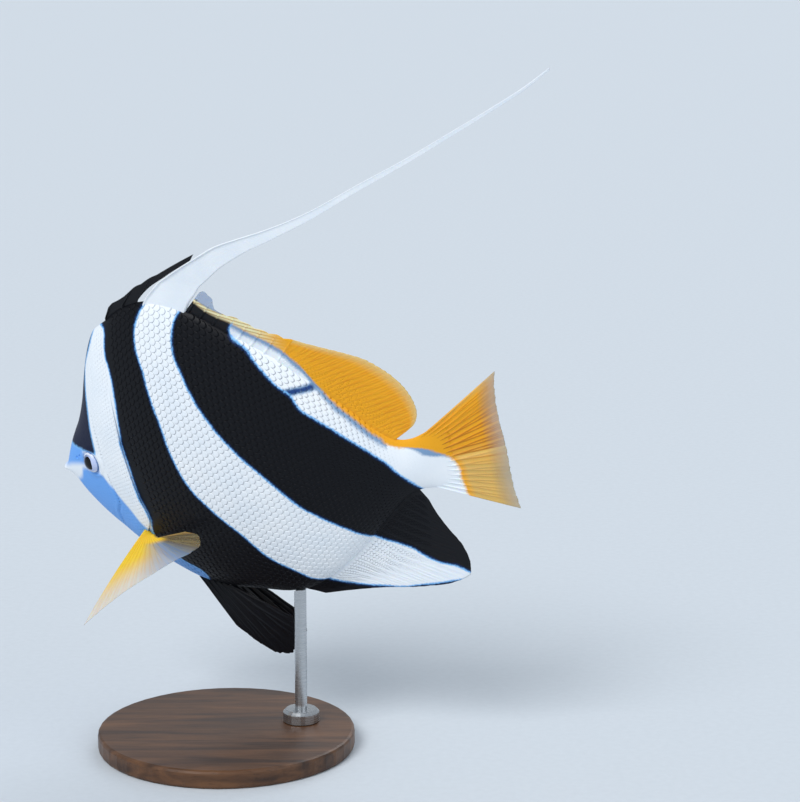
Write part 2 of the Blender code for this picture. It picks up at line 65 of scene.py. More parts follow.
CAMERA_DOWN = math.radians(12)
CAMERA_AWAY = 0.84
CAMERA_RIGHT, CAMERA_UP = 0.377 * LENGTH, 0.182 * LENGTH
LENS, SENSOR = 117.42, 36

forward = np.array([0, math.cos(CAMERA_DOWN), -math.sin(CAMERA_DOWN)])
upward = np.array([0, math.sin(CAMERA_DOWN), math.cos(CAMERA_DOWN)])
camera_data = bpy.data.cameras.new("camera")
camera_data.lens = LENS
camera_data.sensor_width = SENSOR
camera_data.sensor_fit = "HORIZONTAL"
camera = bpy.data.objects.new("camera", camera_data)
camera.location = middle + (CAMERA_RIGHT, 0, 0) - CAMERA_AWAY * forward + CAMERA_UP * upward
camera.rotation_euler = (math.pi / 2 - CAMERA_DOWN, 0, 0)
bpy.context.scene.collection.objects.link(camera)
bpy.context.scene.camera = camera

# The studio: a pale matt floor under three far, wide lights that fall evenly on it. The key stands
# at the upper left, the fill to the right, and a rim light behind draws the fins' edges.
FLOOR_SIZE = 24.0
FLOOR_DROP = 0.00005
LIGHTS = {
    "key": ((-0.95, -1.45, 1.60), 28, 1.90, (1.0, 1.0, 1.0)),
    "fill": ((1.60, -1.10, 0.90), 45, 0.50, (0.93, 0.96, 1.0)),
    "rim": ((0.50, 1.50, 1.30), 30, 0.55, (0.95, 0.97, 1.0)),
}


def paint(red, green, blue):
    """Linear colour of a paint given by its screen values from 0 to 255."""
    share = np.array([red, green, blue]) / 255
    linear = np.where(share > 0.04045, ((share + 0.055) / 1.055) ** 2.4, share / 12.92)
    return (*map(float, linear), 1.0)


def new_material(name, roughness, specular=0.5, coat=(0.0, 0.03)):
    """New material, its shader, an adder of linked nodes and a joiner to the shader.

    coat is the clear coat's weight and roughness.
    """
    made = bpy.data.materials.new(name)
    made.use_nodes = True
    tree = made.node_tree
    shader = tree.nodes["Principled BSDF"]
    shader.inputs["Roughness"].default_value = roughness
    shader.inputs["Specular IOR Level"].default_value = specular
    shader.inputs["Coat Weight"].default_value = coat[0]
    shader.inputs["Coat Roughness"].default_value = coat[1]

    def add(kind, output=0, settings=None, **inputs):
        """New node; inputs are values or other nodes' outputs, by name or, as i0, by place."""
        node = tree.nodes.new("ShaderNode" + kind)
        for key, value in (settings or {}).items():
            setattr(node, key, value)
        for key, value in inputs.items():
            socket = node.inputs[int(key[1:]) if key[1:].isdigit() else key.replace("_", " ")]
            if isinstance(value, bpy.types.NodeSocket):
                tree.links.new(value, socket)
            else:
                socket.default_value = value
        return node.outputs[output]

    def join(value, name):
        tree.links.new(value, shader.inputs[name])

    return made, shader, add, join


def mixed(add, share, first, second):
    """Colour between two colours, by a share from 0 to 1."""
    return add("Mix", 2, {"data_type": "RGBA"}, i0=share, i6=first, i7=second)


def ramp(add, value, low, high):
    """Share from 0 to 1 of a value's way from low to high."""
    return add("MapRange", 0, None, Value=value, From_Min=low, From_Max=high)


def clouded(add, scale, detail=3.0):
    """Soft noise from 0 to 1 on the piece's own coordinates."""
    noise = add("TexNoise", 0, None, Vector=add("TexCoord", 3), Scale=scale, Detail=detail)
    return ramp(add, noise, 0.3, 0.7)


def floor_material():
    """Matt paper, faintly clouded."""
    made, shader, add, join = new_material("floor_paper", 0.85, 0.2)
    tone = mixed(add, clouded(add, 400.0, 2), paint(208, 215, 222), paint(211, 218, 225))
    join(tone, "Base Color")
    return made


half = FLOOR_SIZE / 2
floor_mesh = bpy.data.meshes.new("floor")
corners = [(-half, -half), (half, -half), (half, half), (-half, half)]
floor_mesh.from_pydata([(x, y, -FLOOR_DROP) for x, y in corners], [], [(0, 1, 2, 3)])
floor_mesh.materials.append(floor_material())
floor = bpy.data.objects.new("floor", floor_mesh)
bpy.context.scene.collection.objects.link(floor)

for name, (place, wide, power, tint) in LIGHTS.items():
    lamp = bpy.data.lights.new(name, "SUN")
    lamp.angle = math.radians(wide)
    lamp.energy = power
    lamp.color = tint
    light = bpy.data.objects.new(name, lamp)
    light.location = place
    light.rotation_euler = (-Vector(place)).to_track_quat("-Z", "Y").to_euler()
    bpy.context.scene.collection.objects.link(light)

world = bpy.data.worlds.new("studio")
world.use_nodes = True
sky = world.node_tree.nodes["Background"].inputs
sky["Color"].default_value = paint(214, 222, 230)
sky["Strength"].default_value = 0.62
bpy.context.scene.world = world
bpy.context.scene.view_settings.view_transform = "Standard"

# The body: one skin of painted resin from the lips to the scaly foot of the tail fin, cast over
# head, trunk and tail stalk, deep and flat like a disc. The gill cover's rear edge stands free over
# the trunk, and the mouth is a short opening between thick lips.
TAIL_BEND = math.radians(-36.5)
BEND_SPREAD = 0.6
SNOUT = 0.015
BACK = [(0.012, 0.012), (0.021, 0.021), (0.032, 0.036), (0.044, 0.060), (0.059, 0.087),
        (0.079, 0.117), (0.100, 0.147), (0.122, 0.186), (0.140, 0.223), (0.158, 0.266),
        (0.175, 0.305), (0.190, 0.335), (0.206, 0.362), (0.224, 0.386), (0.245, 0.401),
        (0.268, 0.414), (0.290, 0.430), (0.34, 0.455), (0.40, 0.468), (0.46, 0.462),
        (0.53, 0.435), (0.60, 0.392), (0.666, 0.350), (0.72, 0.308), (0.78, 0.250),
        (0.84, 0.180), (0.89, 0.114), (0.925, 0.084), (0.955, 0.079), (0.98, 0.084),
        (1.005, 0.093), (1.040, 0.106)]
BELLY = [(0.012, 0.000), (0.022, -0.002), (0.034, -0.006), (0.046, -0.015), (0.056, -0.032),
         (0.068, -0.062), (0.085, -0.089), (0.104, -0.114), (0.124, -0.135), (0.150, -0.158),
         (0.176, -0.182), (0.205, -0.209), (0.232, -0.230), (0.262, -0.247), (0.287, -0.261),
         (0.34, -0.286), (0.40, -0.297), (0.50, -0.300), (0.57, -0.299), (0.62, -0.288),
         (0.68, -0.258), (0.75, -0.206), (0.82, -0.148), (0.88, -0.094), (0.92, -0.064),
         (0.95, -0.055), (0.98, -0.060), (1.005, -0.068), (1.040, -0.083)]
HALF_WIDTH = [(0.012, 0.010), (0.035, 0.022), (0.07, 0.036), (0.12, 0.050), (0.18, 0.067),
              (0.25, 0.084), (0.32, 0.094), (0.40, 0.096), (0.50, 0.090), (0.60, 0.077),
              (0.70, 0.060), (0.80, 0.043), (0.88, 0.031), (0.94, 0.021), (0.98, 0.0125),
              (1.01, 0.0050), (1.040, 0.0003)]
WIDEST = [(0.012, 0.006), (0.1, 0.03), (0.2, 0.03), (0.3, 0.02), (0.5, 0.03), (0.7, 0.035),
          (0.9, 0.012), (1.040, 0.010)]
BACK_KEEL, BELLY_KEEL = 1.35, 1.15
GILL_LINE = [(-90, 0.185), (-70, 0.212), (-55, 0.236), (-40, 0.249), (-31, 0.257), (-25, 0.272),
             (-19, 0.286), (-10, 0.283), (0, 0.276), (30, 0.270), (60, 0.268), (90, 0.262)]
BODY_END = 1.036


def curve(points):
    """Smooth line through points with rising first values: a cubic with averaged slopes."""
    x, y = np.array(points, float).T
    slope = np.gradient(y, x)

    def value(t):
        t = np.asarray(t, float)
        i = np.clip(np.searchsorted(x, t) - 1, 0, len(x) - 2)
        step = x[i + 1] - x[i]
        u = (t - x[i]) / step
        return ((2 * u**3 - 3 * u**2 + 1) * y[i] + (u**3 - 2 * u**2 + u) * step * slope[i]
                + (3 * u**2 - 2 * u**3) * y[i + 1] + (u**3 - u**2) * step * slope[i + 1])

    return value


def ease(t):
    """Smooth step from 0 to 1: 3 t squared less 2 t cubed."""
    t = np.clip(t, 0, 1)
    return t * t * (3 - 2 * t)


def running(steps):
    """Running total of steps, which starts at 0."""
    return np.concatenate([[0], np.cumsum(steps)])


back_line, belly_line, half_width = curve(BACK), curve(BELLY), curve(HALF_WIDTH)
widest_line, gill_line = curve(WIDEST), curve(GILL_LINE)

line_s = np.linspace(-0.1, 1.6, 1701)
line_turn = TAIL_BEND * ease((line_s - BEND_START) / BEND_SPREAD)
steps = np.diff(line_s)
half_turn = (line_turn[1:] + line_turn[:-1]) / 2
line_x, line_y = running(np.cos(half_turn) * steps), running(np.sin(half_turn) * steps)
line_x -= np.interp(BEND_START, line_s, line_x)


def placed(shw):
    """Metres in the model from (s, h, w) shares: bent along the middle line, turned and set up."""
    s, h, w = np.moveaxis(np.asarray(shw, float), -1, 0)
    turn = np.interp(s, line_s, line_turn)
    x = np.interp(s, line_s, line_x) - w * np.sin(turn)
    y = -np.interp(s, line_s, line_y) - w * np.cos(turn)
    return (np.stack([x, y, h], axis=-1) * LENGTH) @ turned.T + middle


def body(s, angle):
    """(s, h, w) on the body: half width times a power of the angle's cosine, height by its sine."""
    centre = widest_line(s)
    up = np.sin(angle) > 0
    rise = np.where(up, back_line(s) - centre, centre - belly_line(s))
    cosine = np.cos(angle)
    keel = np.where(up, BACK_KEEL, BELLY_KEEL)
    w = half_width(s) * np.sign(cosine) * np.abs(cosine) ** keel
    return np.stack([s + 0 * angle, centre + rise * np.sin(angle), w], axis=-1)


def angle_at(s, h):
    """Angle round the left side where the body passes height h."""
    centre = widest_line(s)
    rise = np.where(h > centre, back_line(s) - centre, centre - belly_line(s))
    return np.arcsin(np.clip((h - centre) / rise, -1, 1))


# Head relief: the gill cover's flare, the groove round the cheek, the rim and the groove round
# the eye, the pits of the nostrils, each as place, spread and height.
CHEEK_LOW, CHEEK_HIGH, CHEEK_EDGE = -62, 42, 25
GILL_FLARE, GILL_FLARE_FROM, GILL_FLARE_OVER = 0.0052, 0.70, 0.22
CHEEK_GROOVE, CHEEK_RIDGE = (0.665, 0.016, -0.0020), (0.630, 0.022, 0.0011)
EYE_PLACE, EYE_RADIUS, EYE_DEPTH, EYE_SINK = (0.142, 0.058), 0.0275, 0.018, 0.006
ORBIT_RIM, ORBIT_GROOVE = (0.0345, 0.0055, 0.0022), (0.0275, 0.0020, -0.0015)
SOCKET_WIDE, SOCKET_DEEP = 0.0257, 0.006
NOSTRILS = ((0.086, 0.058), (0.098, 0.064))
NOSTRIL_RIM, NOSTRIL_PIT = (0.0046, 0.0016, 0.0011), (0, 0.0030, -0.005)
SKIN_SINK = 0.0012


def bump(x, spec):
    """Round ridge or groove: height times a bell curve of the way from its place."""
    place, spread, height = spec
    return height * np.exp(-((x - place) / spread) ** 2)


def cheek(level):
    """Share of the gill cover's relief at a level in degrees: it dies out above and below."""
    return ease((level - CHEEK_LOW) / CHEEK_EDGE) * ease((CHEEK_HIGH - level) / CHEEK_EDGE)


def relief(s, angle):
    """How far the head's skin stands out from the plain body: its ridges and grooves, added up."""
    level = np.degrees(np.arcsin(np.sin(angle)))
    plain = body(s, angle)
    u = (s - SNOUT) / (gill_line(level) - SNOUT)
    out = GILL_FLARE * ease((u - GILL_FLARE_FROM) / GILL_FLARE_OVER) * cheek(level)
    out = out + (bump(u, CHEEK_GROOVE) + bump(u, CHEEK_RIDGE)) * cheek(level)
    from_eye = np.hypot(s - EYE_PLACE[0], plain[..., 1] - EYE_PLACE[1])
    out = out + bump(from_eye, ORBIT_RIM) + bump(from_eye, ORBIT_GROOVE)
    out = out - SOCKET_DEEP * ease(1 - from_eye / SOCKET_WIDE)
    for place in NOSTRILS:
        near = np.hypot(s - place[0], plain[..., 1] - place[1])
        out = out + bump(near, NOSTRIL_RIM) + bump(near, NOSTRIL_PIT)
    return np.where(u <= 1, out, 0.0)


def moved_out(points, angle, out):
    """(s, h, w) points moved out: up by the angle's sine, sideways by its cosine."""
    points[..., 1] += out * np.sin(angle)
    points[..., 2] += out * np.cos(angle)
    return points


def skin(s, angle, out=0.0):
    """(s, h, w) on the skin: the plain body moved out by its relief and a share of the length."""
    return moved_out(body(s, angle), angle, relief(s, angle) + out - SKIN_SINK)


def tube(rings, tips):
    """Points, quads and fans of closed rings of points, with a tip before and after them."""
    count, around = rings.shape[:2]
    index = np.arange(count * around).reshape(count, around)
    following = np.roll(index, -1, axis=1)
    quads = np.stack([index[:-1], index[1:], following[1:], following[:-1]], axis=-1)
    tip = 0 * index[0] + count * around
    fans = [np.stack([index[0], following[0], tip], axis=-1),
            np.stack([following[-1], index[-1], tip + 1], axis=-1)]
    points = np.concatenate([rings.reshape(-1, 3), tips])
    return points, quads.reshape(-1, 4), np.concatenate(fans)


def mesh_piece(name, points, quads, material, values, fans=None, bake=None):
    """Object from arrays of places and faces, turned outwards, with values at its points.

    They do so when the signed volumes between the origin and each triangle add up to more than 0.
    """
    faces = [quads] if fans is None else [quads, fans]
    thirds = np.concatenate([points[quads[:, :3]], points[quads[:, (0, 2, 3)]]]
                            + [points[face] for face in faces[1:]])
    volume = np.einsum("ij,ij->", np.cross(thirds[:, 0], thirds[:, 1]), thirds[:, 2])
    if volume < 0:
        faces = [face[:, ::-1] for face in faces]
    mesh = bpy.data.meshes.new(name)
    mesh.from_pydata(points.tolist(), [], [row for face in faces for row in face.tolist()])
    for key, value in values.items():
        data = mesh.attributes.new(key, "FLOAT", "POINT").data
        data.foreach_set("value", np.asarray(value, np.float32).ravel())
    if bake is not None:
        layer = mesh.uv_layers.new(name="OFBake")
        loops = np.concatenate([face.ravel() for face in faces])
        layer.data.foreach_set("uv", bake[loops].astype(np.float32).ravel())
    mesh.shade_smooth()
    mesh.materials.append(material)
    obj = bpy.data.objects.new(name, mesh)
    bpy.context.scene.collection.objects.link(obj)
    return obj


# Markings, as lines s = f(h) across the side view in shares. Two black bands slant down and back
# over white, the yellow starts above and behind its own line, and the mask joins the eyes over
# the forehead. The same lines run on from the skin and scales over the fins.
FIRST_BAND_FRONT = [(-0.42, 0.300), (-0.30, 0.335), (-0.274, 0.354), (-0.248, 0.369),
                    (-0.229, 0.365), (-0.212, 0.350), (-0.200, 0.332), (-0.180, 0.312),
                    (-0.155, 0.294), (-0.128, 0.278), (-0.110, 0.276), (-0.095, 0.281),
                    (-0.073, 0.288), (0.0, 0.280), (0.088, 0.277), (0.13, 0.273), (0.18, 0.279),
                    (0.25, 0.284), (0.316, 0.281), (0.346, 0.272), (0.362, 0.272),
                    (0.379, 0.272), (0.394, 0.272), (0.403, 0.262), (0.409, 0.235),
                    (0.42, 0.190), (0.60, 0.050)]
FIRST_BAND_REAR = [(-0.340, 1.100), (-0.312, 1.000), (-0.305, 0.930), (-0.298, 0.855),
                   (-0.287, 0.795), (-0.275, 0.735), (-0.260, 0.680), (-0.245, 0.650),
                   (-0.225, 0.632), (-0.174, 0.580), (-0.097, 0.531), (-0.033, 0.481),
                   (0.030, 0.440), (0.133, 0.411), (0.195, 0.403), (0.254, 0.392),
                   (0.326, 0.382), (0.366, 0.372), (0.400, 0.371), (0.426, 0.376),
                   (0.446, 0.386), (0.481, 0.415), (0.60, 0.520)]
SECOND_BAND_FRONT = [(-0.340, 1.060), (-0.290, 1.000), (-0.268, 0.976), (-0.252, 0.946),
                     (-0.225, 0.916), (-0.197, 0.890), (-0.174, 0.855), (-0.150, 0.815),
                     (-0.128, 0.791), (-0.100, 0.762), (-0.066, 0.727), (-0.031, 0.692),
                     (0.014, 0.660), (0.053, 0.634), (0.134, 0.575), (0.196, 0.537),
                     (0.270, 0.502), (0.320, 0.486), (0.369, 0.472), (0.41, 0.475),
                     (0.45, 0.493), (0.476, 0.523), (0.507, 0.557), (0.60, 0.650)]
SECOND_BAND_REAR = [(-0.340, 1.090), (-0.243, 1.045), (-0.156, 1.013), (-0.093, 0.981),
                    (-0.041, 0.943), (0.007, 0.911), (0.052, 0.882), (0.088, 0.852),
                    (0.132, 0.812), (0.175, 0.772), (0.208, 0.740), (0.245, 0.722),
                    (0.261, 0.706), (0.311, 0.669), (0.353, 0.641), (0.394, 0.604),
                    (0.41, 0.612), (0.43, 0.636), (0.46, 0.700), (0.60, 0.950)]
MASK_REAR = [(-0.10, 0.140), (0.03, 0.155), (0.09, 0.170), (0.125, 0.171), (0.163, 0.174),
             (0.212, 0.178), (0.255, 0.181), (0.311, 0.192), (0.349, 0.214), (0.40, 0.236),
             (0.60, 0.26)]
MASK_FROM = 0.082


def along_line(line, s, h):
    """Signed way in millimetres from a line s = f(h), rising tailward, to first order."""
    slope = (line(h + 0.002) - line(h - 0.002)) / 0.004
    return (s - line(h)) / np.sqrt(1 + slope**2) * LENGTH * 1000


first_front, first_rear = curve(FIRST_BAND_FRONT), curve(FIRST_BAND_REAR)
second_front, second_rear = curve(SECOND_BAND_FRONT), curve(SECOND_BAND_REAR)


def ink(s, h):
    """Millimetres inside the nearer black band, less than 0 outside both."""
    first = np.minimum(along_line(first_front, s, h), -along_line(first_rear, s, h))
    second = np.minimum(along_line(second_front, s, h), -along_line(second_rear, s, h))
    return np.maximum(first, second)


# Where the yellow starts: above this line on the dorsal fin, behind the next on the tail.
GOLD_OVER = [(0.50, 0.540), (0.53, 0.475), (0.559, 0.447), (0.588, 0.431), (0.618, 0.417),
             (0.647, 0.399), (0.677, 0.380), (0.700, 0.365), (0.721, 0.346), (0.7375, 0.324),
             (0.756, 0.301), (0.773, 0.2675), (0.791, 0.2355), (0.808, 0.2075), (0.829, 0.1805),
             (0.850, 0.1505), (0.871, 0.1214), (0.894, 0.0964), (0.917, 0.0724), (0.95, 0.066)]
GOLD_BEHIND = [(-0.20, 1.055), (-0.092, 1.046), (-0.058, 1.042), (-0.024, 1.041), (0.014, 1.023),
               (0.034, 0.998), (0.053, 0.971), (0.064, 0.940), (0.0724, 0.917), (0.10, 0.89),
               (0.20, 0.86)]
# Painted shadow: a blue-grey strip along the yellow's lower edge on the dorsal fin, and on the tail
# only a patch about this place.
TAIL_SHADOW, TAIL_SHADOW_AT = 0.40, (0.985, 0.0425)
# Painted shade: the cheek and throat below the first line, and the snout before the eye above the
# second, are painted blue for white skin in blue shade.
CHEEK_SHADE = [(0.0, -0.03), (0.05, -0.010), (0.075, 0.002), (0.088, 0.014), (0.097, 0.032),
               (0.107, 0.038), (0.125, 0.040), (0.150, 0.040), (0.165, 0.036), (0.178, 0.020),
               (0.190, 0.003), (0.211, -0.028), (0.234, -0.055), (0.252, -0.083),
               (0.275, -0.105), (0.32, -0.130), (0.40, -0.150)]
SNOUT_SHADE = [(0.0, 0.012), (0.028, 0.018), (0.057, 0.031), (0.077, 0.037), (0.12, 0.046)]
BAR_HEIGHT, BAR_HALF, BAR_FROM, BAR_TO = 0.2515, 0.0052, 0.690, 0.800
gold_over, gold_behind = curve(GOLD_OVER), curve(GOLD_BEHIND)
mask_rear, cheek_shade = curve(MASK_REAR), curve(CHEEK_SHADE)
snout_shade = curve(SNOUT_SHADE)


def markings(points):
    """Values at (s, h, w) points, all in millimetres: inside black, yellow, mask, painted shade,
    painted shadow strip and bar.
    """
    s, h = points[..., 0], points[..., 1]
    rise = (h - gold_over(np.clip(s, 0.5, 0.95))) * 0.75
    behind = (s - gold_behind(np.clip(h, -0.2, 0.2))) * 0.8
    gold = np.maximum(rise, behind)
    tail = TAIL_SHADOW * np.hypot(s - TAIL_SHADOW_AT[0], (h - TAIL_SHADOW_AT[1]) * 1.6) - 0.014
    hem = np.where(s < 0.90, rise, behind - tail)
    throat = cheek_shade(np.clip(s, 0, 0.4)) - h
    throat = np.where(s < 0.4, throat, -1)
    snout = np.minimum(h - snout_shade(np.clip(s, 0, 0.12)), 0.122 - s)
    mask = np.minimum(-along_line(mask_rear, s, h), (h - MASK_FROM) * LENGTH * 1000)
    bar = np.minimum(BAR_HALF - np.abs(h - BAR_HEIGHT), np.minimum(s - BAR_FROM, BAR_TO - s))
    values = {"gold": gold, "hem": hem, "shade": np.maximum(throat, snout), "bar": bar}
    values = {key: value * LENGTH * 1000 for key, value in values.items()}
    return {**values, "ink": ink(s, h), "mask": mask}


def stepped(add, value, first, stops):
    """Colour that passes from the first to each stop's, given as (from, to, colour), in turn."""
    colour = first
    for low, high, following in stops:
        share = add("MapRange", 0, {"interpolation_type": "SMOOTHSTEP"}, Value=value,
                    From_Min=low, From_Max=high)
        colour = mixed(add, share, colour, following)
    return colour


def sum_of(add, total, *values, operation="ADD"):
    """Sum, or what the operation makes, of sockets and numbers in turn."""
    for value in values:
        total = add("Math", 0, {"operation": operation}, i0=total, i1=value)
    return total


def times(add, *values):
    """Product of sockets and numbers."""
    return sum_of(add, *values, operation="MULTIPLY")


def named(add, key):
    """Value kept at the mesh's points under this name."""
    return add("Attribute", 2, {"attribute_name": key})


# The pale and deep blues are painted reflected light at the edges of the black bands and of the mask.
WHITE, PALE_REFLECTED_BLUE = paint(243, 247, 251), paint(122, 184, 240)
DEEP_REFLECTED_BLUE, BLACK = paint(14, 44, 92), paint(10, 12, 18)
YELLOW, AMBER = paint(240, 168, 34), paint(206, 124, 18)
# The throat's blue is painted shade, and the shadow blue is a painted shadow.
THROAT_SHADE_BLUE, SHADOW_BLUE = paint(110, 170, 243), paint(126, 158, 194)
MASK = paint(7, 18, 50)


def skin_colour(add):
    """The painted markings: white, black, yellow and the mask, with painted light: blue reflected light
    at the edges of the bands and mask, blue painted shade on throat and snout, and a blue-grey painted
    shadow along the yellow.
    """
    grain = clouded(add, 1400, 2)
    wave = clouded(add, 260, 3)
    edge = sum_of(add, times(add, grain, 0.3), times(add, wave, 0.25), -0.28)
    white = mixed(add, clouded(add, 90, 4), WHITE, paint(234, 241, 248))
    throat = stepped(add, named(add, "shade"), white, [(-1.1, 1.9, THROAT_SHADE_BLUE)])
    inked = sum_of(add, named(add, "ink"), edge)
    mask = sum_of(add, named(add, "mask"), edge)
    gold = sum_of(add, named(add, "gold"), times(add, edge, 1.4))
    hem = sum_of(add, named(add, "hem"), times(add, edge, 1.4))
    bar = sum_of(add, named(add, "bar"), edge)
    # Painted reflected light: a pale blue fringe round the mask.
    colour = stepped(add, mask, throat, [(-0.3, 0.5, PALE_REFLECTED_BLUE), (0.2, 1.4, MASK)])
    colour = stepped(add, bar, colour, [(-1.1, 0.1, SHADOW_BLUE), (-0.3, 0.5, paint(34, 66, 124))])
    # Painted shadow: blue-grey along the yellow's edge.
    colour = stepped(add, hem, colour, [(-2.8, -0.8, SHADOW_BLUE)])
    colour = stepped(add, gold, colour, [(-0.8, 0.5, YELLOW)])
    # Painted reflected light: pale and deep blue fringes along the black bands' edges.
    return stepped(add, inked, colour,
                   [(-0.75, -0.1, PALE_REFLECTED_BLUE), (-0.2, 0.35, DEEP_REFLECTED_BLUE), (0.2, 0.9, BLACK)])


def skin_material(name, bump_size):
    """Satin paint with the markings and a fine grain of this depth."""
    made, shader, add, join = new_material(name, 0.50, 0.15, (0.03, 0.2))
    join(skin_colour(add), "Base Color")
    height = sum_of(add, clouded(add, 2600, 3), times(add, clouded(add, 700, 2), 0.8))
    join(add("Bump", 0, None, Strength=0.35, Distance=bump_size, Height=height), "Normal")
    return made


# The rings of the skin run from inside the mouth over the lips and the head to the gill cover's
# free edge, fold forward under it and go on over trunk and stalk.
LEVEL_DENSE = (8.0, 30.0, 1.6)
RING_HALF = 128
MOUTH_RINGS, HEAD_RINGS, TRUNK_RINGS = 16, 150, 188
LIP_AT, LIP_OUT, LIP_GAPE = 0.0190, 0.0055, (0.0068, 0.0009)
LIP_ROUND, UPPER_LIP_OVER, LIPS_TO = 0.8, 0.0016, 0.96
POUCH_STEP, POUCH_NARROW = 0.006, 0.9
HEAD_PACE = 1.15
END_CLOSES, END_OVER = 1.03, 0.05
GILL_FOLD = [(0.0008, 0.0044), (0.0008, 0.0034), (0.0002, 0.0022), (-0.003, 0.0016),
             (-0.012, 0.0012), (-0.0128, 0.0002), (-0.012, -0.0010), (-0.004, -0.0012),
             (0.002, -0.0008), (0.008, -0.0003), (0.015, 0.0)]
RING_STEP = 0.00035

fine_level = np.linspace(-90, 90, 2001)
density = 1 + bump(fine_level, LEVEL_DENSE)
share = running((density[1:] + density[:-1]) / 2)
levels = np.interp(np.linspace(0, 1, RING_HALF + 1), share / share[-1], fine_level)
left_angles = np.radians(levels)
ring_angles = np.concatenate([left_angles, np.pi - left_angles[-2:0:-1]])
ring_levels = np.degrees(np.arcsin(np.sin(ring_angles)))
gill = gill_line(ring_levels)


def mouth_ring(v):
    """Ring of the lips: from the gape's rim at v = 0 over a half round to the head at v = 1."""
    outer = skin(np.full_like(ring_angles, LIP_AT), ring_angles)
    inner = outer * (0, 0, 1)
    inner[:, 2] *= LIP_GAPE[0] / np.abs(outer[:, 2]).max()
    inner[:, 1] = widest_line(LIP_AT) - 0.001 + LIP_GAPE[1] * np.sin(ring_angles)
    share = 0.5 - 0.5 * math.cos(math.pi * v)
    ring = inner + (outer - inner) * share
    ring[:, 0] = LIP_AT - LIP_OUT * math.sin(math.pi * v) ** LIP_ROUND
    ring[:, 0] -= UPPER_LIP_OVER * math.sin(math.pi * v) * np.sin(ring_angles)
    return ring


def fold_ring(number, along, away):
    """Ring of the gill cover's fold, which dies out above and below the cheek."""
    share = cheek(ring_levels)
    s = gill + along * share + RING_STEP * (number + 1)
    return moved_out(body(s, ring_angles), ring_angles, away * share - SKIN_SINK)


pouch = [mouth_ring(0.0) * (1, 1, POUCH_NARROW) + (POUCH_STEP * k, 0, 0) for k in (3, 2, 1)]
lips = [mouth_ring(v) for v in np.linspace(0, LIPS_TO, MOUTH_RINGS)]
head_u = np.linspace(0, 1, HEAD_RINGS)[:, None] ** HEAD_PACE
head_rings = skin(LIP_AT + head_u * (gill - LIP_AT), ring_angles[None, :])
fold = [fold_ring(k, *step) for k, step in enumerate(GILL_FOLD)]
trunk_from = fold[-1][:, 0] + RING_STEP
trunk_t = np.linspace(0, 1, TRUNK_RINGS)[:, None]
trunk_s = trunk_from + trunk_t * (BODY_END - trunk_from)
trunk = body(trunk_s, ring_angles[None, :])
trunk[..., 1] -= SKIN_SINK * np.sin(ring_angles)
trunk[..., 2] -= SKIN_SINK * np.cos(ring_angles) * ease((END_CLOSES - trunk_s) / END_OVER)
rings = np.concatenate([np.array(pouch), np.array(lips), head_rings, np.array(fold), trunk])
points, quads, fans = tube(rings, [rings[0].mean(axis=0), rings[-1].mean(axis=0)])
skin_piece = mesh_piece("painted_skin", placed(points), quads,
                        skin_material("painted_skin", 0.00004), markings(points), fans)
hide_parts("head", "torso", "tail_stalk")
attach(skin_piece, "root")

# The scales: thin resin plates rooted in the skin in staggered rows, each lying over the next
# behind. They are largest on the flank, small on the head, and missing on the snout and round the
# eye. They carry the skin's paint.
SIDES = ((1, "left"), (-1, "right"))
SCALE_GRID = 6
COLUMN_STEP, ROW_STEP = 0.0140, 0.0172
DEEPEST = 0.765
SCALE_LONG, SCALE_WIDE = 1.75, 0.60
SCALE_LIFT, SCALE_ROOT, SCALE_THICK, SCALE_CROWN = 0.00032, -0.00026, 0.00022, 0.00012
HEAD_SCALE = 0.62
SCALES_FROM, HEAD_TO, TRUNK_FROM, SCALES_SPLIT, SCALES_TO = 0.115, 0.30, 0.262, 0.60, 1.030
EYE_BARE, HEAD_BARE, TRUNK_BARE = 0.043, 0.010, 0.016
BAKE_PATCH = 0.003


def scale_size(s):
    """Share of full size by the body's depth at s."""
    return np.sqrt((back_line(s) - belly_line(s)) / DEEPEST)


def scale_roots(first, last, factor):
    """(s, angle, size) of the roots: columns along s, rows stepped by arc length from mid-flank."""
    found = []
    s, odd = first, False
    table = np.radians(np.linspace(-89.5, 89.5, 360))
    while s < last:
        size = float(scale_size(s)) * factor
        ring = body(np.full_like(table, s), table)
        arc = running(np.linalg.norm(np.diff(ring, axis=0), axis=1))
        arc -= np.interp(0, table, arc)
        step = ROW_STEP * size
        row = (np.arange(-60, 60) + 0.5 * odd) * step
        row = row[(row > arc[0] + 0.3 * step) & (row < arc[-1] - 0.3 * step)]
        angle = np.interp(row, arc, table)
        found.append(np.column_stack([0 * row + s, angle, 0 * row + size]))
        s += COLUMN_STEP * size**0.8 * factor**0.2
        odd = not odd
    return np.concatenate(found)


def quads_of(index):
    """Quads of one face of a grid of point numbers."""
    return np.stack([index[:-1, :-1], index[1:, :-1], index[1:, 1:], index[:-1, 1:]], axis=-1)


def two_faced(rows, columns):
    """Point numbers and quads of a closed thin body: two grids that share their border."""
    front = np.arange(rows * columns).reshape(rows, columns)
    back = front.copy()
    inner = (rows - 2) * (columns - 2)
    back[1:-1, 1:-1] = rows * columns + np.arange(inner).reshape(rows - 2, columns - 2)
    return np.concatenate([quads_of(front).reshape(-1, 4), quads_of(back).reshape(-1, 4)[:, ::-1]])


def both(front, back=None):
    """Values of a two-faced grid: all of the front's, then the back's without its border."""
    back = front if back is None else back
    tail = front.shape[2:]
    return np.concatenate([front.reshape(-1, *tail), back[1:-1, 1:-1].reshape(-1, *tail)])


# Each plate is a small grid: a runs from its root to its tip, b from one edge to the other.
a, b = np.meshgrid(np.linspace(0, 1, SCALE_GRID), np.linspace(-1, 1, SCALE_GRID), indexing="ij")
plate_rim = np.ones((SCALE_GRID, SCALE_GRID), bool)
plate_rim[1:-1, 1:-1] = False
scale_paint = skin_material("painted_scale", 0.00002)


